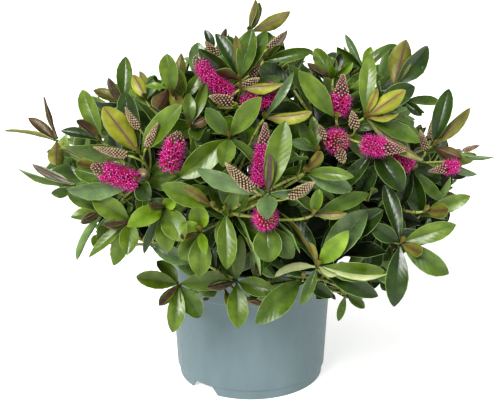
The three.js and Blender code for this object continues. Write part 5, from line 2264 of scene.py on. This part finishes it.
@dataclass
class Wood:
    """The trunk and its boughs, with the relief of their bark."""

    crown: Crown
    trunk_radius: float = 8.4
    trunk_top_radius: float = 4.6
    flare: float = 5.2
    flare_height: float = 9
    buttresses: int = 5
    buttress_depth: float = 0.3
    bough_radius: float = 3.2
    bough_tip_radius: float = 2.2
    collar: float = 0.35  # how much a bough swells where it leaves the trunk, of its radius
    scar_spacing: float = 13
    bark_depth: float = 0.55
    bough_bark_depth: float = 0.45  # of the trunk's
    trunk_ridge: float = 3.0
    bough_ridge: float = 2.2
    ridge_round: float = 8  # how closely the ridges stand round a limb
    ridge_long: float = 4  # how much longer a ridge is than wide
    collar_length: float = 9
    scar_height: float = 0.35

    def build(self) -> None:
        """Make the trunk as one piece and the boughs as another."""
        bark = Bark("hebe_bark_young_split", "#4a3c2e", "#6b5640", "#8a755a")
        rind = Bark("hebe_bark_green_brown", "#57502f", "#736a3f", "#8c8452", 1.8)
        trunk = MeshMaker()
        rings, sides = 84, 44
        trunk.add(stack(rings, sides), self._trunk_points(rings, sides)[None], 0)
        piece = trunk.make("trunk_bark", [bark.material()])
        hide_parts("trunk")
        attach(piece, "root")
        LOG.info("trunk_bark: %d triangles", trunk.triangles())
        boughs = MeshMaker()
        rings, sides = 40, 16
        for mass in MASSES:
            boughs.add(stack(rings, sides), self._bough_points(mass, rings, sides)[None], 0)
        piece = boughs.make("boughs_bark", [rind.material()])
        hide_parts(*(f"bough_{mass.name}" for mass in MASSES))
        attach(piece, "root")
        LOG.info("boughs_bark: %d triangles", boughs.triangles())

    def _relief(self, curve: Curve, along: Array, sides: int, ridge: float) -> Array:
        """Long narrow ridges of bark round a limb, each about so wide, (rings, sides)."""
        angles = np.arange(sides) * 2 * math.pi / sides
        relief = np.zeros((len(along), sides))
        for i, way in enumerate(along * curve.length):
            for j, angle in enumerate(angles):
                level = (math.cos(angle) * self.ridge_round, math.sin(angle) * self.ridge_round)
                spot = Vector((level[0] / ridge, level[1] / ridge, way / (self.ridge_long * ridge)))
                relief[i, j] = noise.noise(spot) + 0.4 * noise.noise(spot * 2.7)
        return relief

    def _trunk_points(self, rings: int, sides: int) -> Array:
        """Points of the trunk, with its root flare and buttresses."""
        along = np.linspace(0, 1, rings)
        height = self.crown.trunk_top - self.crown.compost_top
        flare = self.flare * np.exp(-along * height / self.flare_height)
        radii = self.trunk_radius + (self.trunk_top_radius - self.trunk_radius) * along + flare
        angles = np.arange(sides) * 2 * math.pi / sides
        buttress = self.buttress_depth * flare[:, None] * np.cos(self.buttresses * angles)[None]
        bark = self._relief(self.crown.trunk, along, sides, self.trunk_ridge) * self.bark_depth
        return tube(self.crown.trunk, along, radii, sides, buttress + bark)

    def _bough_points(self, mass: Mass, rings: int, sides: int) -> Array:
        """Points of a bough, swollen at its foot and at its old leaf scars."""
        curve = self.crown.boughs[mass.name]
        along = np.linspace(0, 1, rings)
        way = along * curve.length
        radii = self.bough_radius + (self.bough_tip_radius - self.bough_radius) * along
        radii = radii * (1 + self.collar * np.exp(-way / self.collar_length))
        scars = np.exp(-(((way % self.scar_spacing) - self.scar_spacing / 2) ** 2) / 1.8)
        radii = radii + self.scar_height * scars
        relief = self._relief(curve, along, sides, self.bough_ridge)
        return tube(curve, along, radii, sides, relief * self.bark_depth * self.bough_bark_depth)


# ---------------------------------------------------------------- pot and compost


@dataclass
class NurseryPot:
    """A round moulded pot on a notched foot, with a stiff collar under its rim."""

    height: float = 148
    sides: int = 160
    wall: float = 1.9
    foot_radius: float = 82.7
    foot_height: float = 11
    step_radius: float = 85.3
    wall_top_radius: float = 90
    collar_bottom: float = 112
    collar_radius: float = 91.5
    lip_depth: float = 4
    lip_radius: float = 95
    edge: float = 0.8
    draft: float = 1.6
    floor_bottom: float = 10.5
    floor_thickness: float = 2
    notch_bearings: tuple[float, ...] = (-39, 141)
    notch_width: float = 38
    notch_top_width: float = 24
    notch_height: float = 9.7
    notch_depth: float = 20
    pad_radius: float = 15
    pad_edge: float = 0.6
    middle_radius: float = 3  # of the flat cap in the middle of the floor
    rib_width: float = 5
    rib_bearings: tuple[float, ...] = (0, 90)
    drain_count: int = 4
    drain_radius: float = 5
    drain_ring: float = 52
    ease: float = 0.45  # how far from a corner its rounding starts
    longest_run: float = 14
    sharp_angle: float = 32

    def profile(self) -> list[tuple[float, float]]:
        """The wall's outline from the middle of its underside round to that of its floor."""
        foot_inside = self.foot_radius - self.wall
        lip_bottom = self.height - self.lip_depth
        floor_top = self.floor_bottom + self.floor_thickness
        collar_inside = self.collar_radius - self.wall
        corners = [
            (self.middle_radius, self.floor_bottom),
            (foot_inside, self.floor_bottom),
            (foot_inside, 0),
            (self.foot_radius, 0),
            (self.foot_radius + self.edge, self.foot_height),
            (self.step_radius, self.foot_height + self.edge),
            (self.wall_top_radius, self.collar_bottom),
            (self.collar_radius, self.collar_bottom + self.draft),
            (self.lip_radius - self.draft, lip_bottom),
            (self.lip_radius, lip_bottom + self.edge),
            (self.lip_radius, self.height - self.edge),
            (self.lip_radius - self.edge, self.height),
            (self.lip_radius - self.draft - self.wall, self.height),
            (collar_inside, self.collar_bottom + self.draft),
            (self.wall_top_radius - self.wall, self.collar_bottom - self.draft),
            (self.step_radius - self.wall, floor_top),
            (self.middle_radius, floor_top),
        ]
        return self._eased(corners)

    def _eased(self, corners: Sequence[tuple[float, float]]) -> list[tuple[float, float]]:
        """The outline with every corner rounded a little, and long runs divided."""
        points = [np.array(corner, dtype=float) for corner in corners]
        eased = [points[0]]
        for before, corner, after in zip(points, points[1:], points[2:]):
            back, on = before - corner, after - corner
            start = corner + unit(back) * min(self.ease, np.linalg.norm(back) / 3)
            end = corner + unit(on) * min(self.ease, np.linalg.norm(on) / 3)
            eased += [start, (start + 2 * corner + end) / 4, end]
        eased.append(points[-1])
        divided = [eased[0]]
        for point in eased[1:]:
            steps = max(1, round(float(np.linalg.norm(point - divided[-1])) / self.longest_run))
            last = divided[-1]
            divided += [last + (point - last) * (i + 1) / steps for i in range(steps)]
        return [(float(r), float(z)) for r, z in divided]

    def build(self) -> None:
        """Make the pot in place of its solid."""
        maker = MeshMaker()
        wall = MouldedPlastic("polypropylene_moulded_matt_blue_grey", "#5b6c70", "#5f7175", "#64767a")
        shell = lathe(self.profile(), self.sides)
        maker.add(shell, shell.points[None], 0)
        pot = maker.make("nursery_pot", [wall.material()])
        middle = self.floor_bottom + self.floor_thickness / 2
        side, edge = self.pad_radius, self.pad_edge
        pad = self._plain(lathe([(side - edge, 0), (side, edge), (side, middle)], 72))
        combined(pot, [pad, *self._ribs(middle)], "UNION")
        combined(pot, [*self._notches(), *self._drains()], "DIFFERENCE")
        pot.data.shade_smooth()
        pot.data.set_sharp_from_angle(angle=self.sharp_angle * DEGREE)
        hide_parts("pot")
        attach(pot, "root")
        LOG.info("nursery_pot: %d faces", len(pot.data.polygons))

    @staticmethod
    def _plain(shape: Shape) -> bpy.types.Object:
        """A shape as an object of its own, to join or to cut with."""
        maker = MeshMaker()
        maker.add(shape, shape.points[None], 0)
        return maker.make("tool", [])

    def _prism(
        self, corners: Sequence[tuple[float, float]], depth: float, turn: Matrix
    ) -> bpy.types.Object:
        """A prism: an outline in the XZ plane drawn along -Y, then turned."""
        rings = [[(x, y, z) for x, z in corners] for y in (0, -depth)]
        shape = stack(2, len(corners), np.array(rings, dtype=float).reshape(-1, 3))
        tool = self._plain(shape)
        tool.data.transform(turn)
        return tool

    def _ribs(self, top: float) -> list[bpy.types.Object]:
        """The crossed ribs under the floor."""
        half = self.foot_radius - self.wall / 2
        side = self.rib_width / 2
        outline = [(-side, 0), (side, 0), (side, top), (-side, top)]
        ribs = []
        for bearing in self.rib_bearings:
            turn = Matrix.Rotation(bearing * DEGREE, 4, "Z") @ Matrix.Translation((0, half * MM, 0))
            ribs.append(self._prism(outline, 2 * half, turn))
        return ribs

    def _notches(self) -> list[bpy.types.Object]:
        """The cutters of the foot's notches."""
        wide, narrow = self.notch_width / 2, self.notch_top_width / 2
        outline = [(-wide, -1), (wide, -1), (narrow, self.notch_height), (-narrow, self.notch_height)]
        start = 0.8 * self.notch_depth - self.foot_radius
        shift = Matrix.Translation((0, start * MM, 0))
        turns = [Matrix.Rotation(bearing * DEGREE, 4, "Z") @ shift for bearing in self.notch_bearings]
        return [self._prism(outline, self.notch_depth, turn) for turn in turns]

    def _drains(self) -> list[bpy.types.Object]:
        """The cutters of the drain holes."""
        drains = []
        for i in range(self.drain_count):
            way = outward(360 / self.drain_count * (i + 0.5), 0) * self.drain_ring
            low = self.floor_bottom - self.floor_thickness
            high = low + 3 * self.floor_thickness
            tool = self._plain(lathe([(self.drain_radius, low), (self.drain_radius, high)], 32))
            tool.data.transform(Matrix.Translation(Vector(way) * MM))
            drains.append(tool)
        return drains


@dataclass
class Compost:
    """The filling of the pot: a crumbly body with loose bits on top."""

    pot: NurseryPot
    top: float = 130
    flat: float = 55
    dip: float = 1.2
    inset: float = 2.5
    gap: float = 0.3
    ring_count: int = 28
    sides: int = 96
    crumb_count: int = 900
    crumb_sizes: tuple[float, float] = (0.9, 2.6)
    crumb_reach: float = 86  # from the pot's axis
    bark_share: float = 0.3
    roughness: float = 0.9
    loose_depth: float = 3  # the surface is rough where it lies this near the top

    def build(self) -> None:
        """Make the body and its crumbs in place of the compost's solid."""
        pot = self.pot
        bottom = pot.floor_bottom + pot.floor_thickness + self.gap
        wall_top = (pot.wall_top_radius - self.inset, pot.collar_bottom - pot.draft)
        brim = (pot.collar_radius - self.inset, self.top - self.dip)
        rings = [(8, bottom), (pot.step_radius - self.inset, bottom), wall_top, brim]
        radii = np.linspace(brim[0] - 2, 3, self.ring_count)
        rings += [(radius, self._height(radius)) for radius in radii]
        shape = lathe(rings, self.sides)
        points = shape.points.copy()
        loose = points[:, 2] > self.top - self.loose_depth
        spots = [Vector(point) for point in points]
        lift = np.array([noise.noise(spot / 5) + 0.5 * noise.noise(spot / 2) for spot in spots])
        points[:, 2] += np.where(loose, lift * self.roughness, 0)
        maker = MeshMaker()
        maker.add(shape, points[None], 0)
        self._add_crumbs(maker)
        peat = PottingCompost("compost_milled_peat", "#1c1410", "#33261c", "#4d3b2b")
        bits = PottingCompost("compost_bark_bits", "#2c1e15", "#4a3524", "#6b5238")
        piece = maker.make("compost_crumbs", [peat.material(), bits.material()])
        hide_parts("compost")
        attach(piece, "root")
        LOG.info("compost_crumbs: %d triangles", maker.triangles())

    def _height(self, radius: float) -> float:
        """Height of the surface at a radius."""
        brim = self.pot.collar_radius - self.inset
        return float(np.interp(radius, [self.flat, brim], [self.top, self.top - self.dip]))

    def _add_crumbs(self, maker: MeshMaker) -> None:
        """Scatter crumbs over the surface, most of them peat and some bark."""
        random = SeededRandom(31)
        crumb = lathe([(0.45, -0.7), (1, -0.2), (0.85, 0.45), (0.35, 0.8)], 6)
        places, sizes, ways, slots = [], [], [], []
        for i in range(self.crumb_count):
            radius = self.crumb_reach * math.sqrt((i + 0.5) / self.crumb_count)
            angle = i * GOLDEN_TURN * DEGREE + random.either_way(0.2)
            size = random.between(*self.crumb_sizes)
            height = self._height(radius) + 0.2 * size
            places.append((radius * math.cos(angle), radius * math.sin(angle), height))
            sizes.append([size * random.between(0.6, 1.3) for _ in range(3)])
            ways.append([random.either_way(1), random.either_way(1), random.between(0.2, 1)])
            slots.append(1 if random.draw() < self.bark_share else 0)
        frames = bases(unit(np.array(ways)))
        points = placed(crumb, frames, np.array(places), np.array(sizes))
        maker.add(crumb, points, np.array(slots)[:, None])


# ---------------------------------------------------------------- studio


@dataclass
class Studio:
    """A plain pale floor, soft light and the camera."""

    focal_px: float = 895
    width_px: float = 500
    sensor_mm: float = 36
    floor_half: float = 80.0  # metres, so that its edge is out of sight
    world_strength: float = 0.66
    key_strength: float = 3.3
    key_softness: float = 26  # degrees across
    key_way: tuple[float, float] = (-30, 41)  # bearing and rise of the key light, in degrees

    def build(self) -> None:
        """Set up the floor, the lights and the camera."""
        self._floor()
        self._world()
        self._key()
        self._camera()
        bpy.context.scene.view_settings.view_transform = "Standard"
        bpy.context.scene.view_settings.look = "Medium High Contrast"

    def _floor(self) -> None:
        """A wide sheet of paper under the pot."""
        mesh = bpy.data.meshes.new("studio_floor")
        half = self.floor_half
        corners = [(-half, -half, 0), (half, -half, 0), (half, half, 0), (-half, half, 0)]
        mesh.from_pydata(corners, [], [(0, 1, 2, 3)])
        paper = StudioPaper("studio_paper_seamless_white", "#dcdcdb", "#dededd", "#e0e0df")
        mesh.materials.append(paper.material())
        in_scene(bpy.data.objects.new("studio_floor", mesh))

    def _world(self) -> None:
        """An even white surround."""
        world = bpy.data.worlds.new("studio")
        world.use_nodes = True
        sky = world.node_tree.nodes["Background"]
        sky.inputs["Color"].default_value = (1, 1, 1, 1)
        sky.inputs["Strength"].default_value = self.world_strength
        bpy.context.scene.world = world

    def _key(self) -> None:
        """A large soft light from high up in front, to the left."""
        data = bpy.data.lights.new("key", "SUN")
        data.energy = self.key_strength
        data.angle = self.key_softness * DEGREE
        light = in_scene(bpy.data.objects.new("key", data))
        light.rotation_euler = (-Vector(outward(*self.key_way))).to_track_quat("-Z", "Y").to_euler()

    def _camera(self) -> None:
        """The camera, level and a little above the plant."""
        data = bpy.data.cameras.new("camera")
        data.sensor_width = self.sensor_mm
        data.lens = self.sensor_mm * self.focal_px / self.width_px
        camera = in_scene(bpy.data.objects.new("camera", data))
        back = Vector(VIEW_AXES[2])
        camera.location = Vector(EYE / 1000)
        camera.rotation_euler = (-back).to_track_quat("-Z", "Y").to_euler()
        bpy.context.scene.camera = camera


def main() -> None:
    """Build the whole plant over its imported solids."""
    logging.basicConfig(level=logging.INFO, format="%(message)s")
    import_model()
    Studio().build()
    pot = NurseryPot()
    pot.build()
    Compost(pot).build()
    crown = Crown()
    kinds = {kind.value: sum(shoot.kind is kind for shoot in crown.shoots) for kind in ShootKind}
    LOG.info("shoots: %s", kinds)
    Wood(crown).build()
    blossom = Blossom(crown)
    blossom.build()
    foliage = Foliage(crown, blossom)
    foliage.build_leaves()
    foliage.build_twigs()


if __name__ == "__main__":
    main()
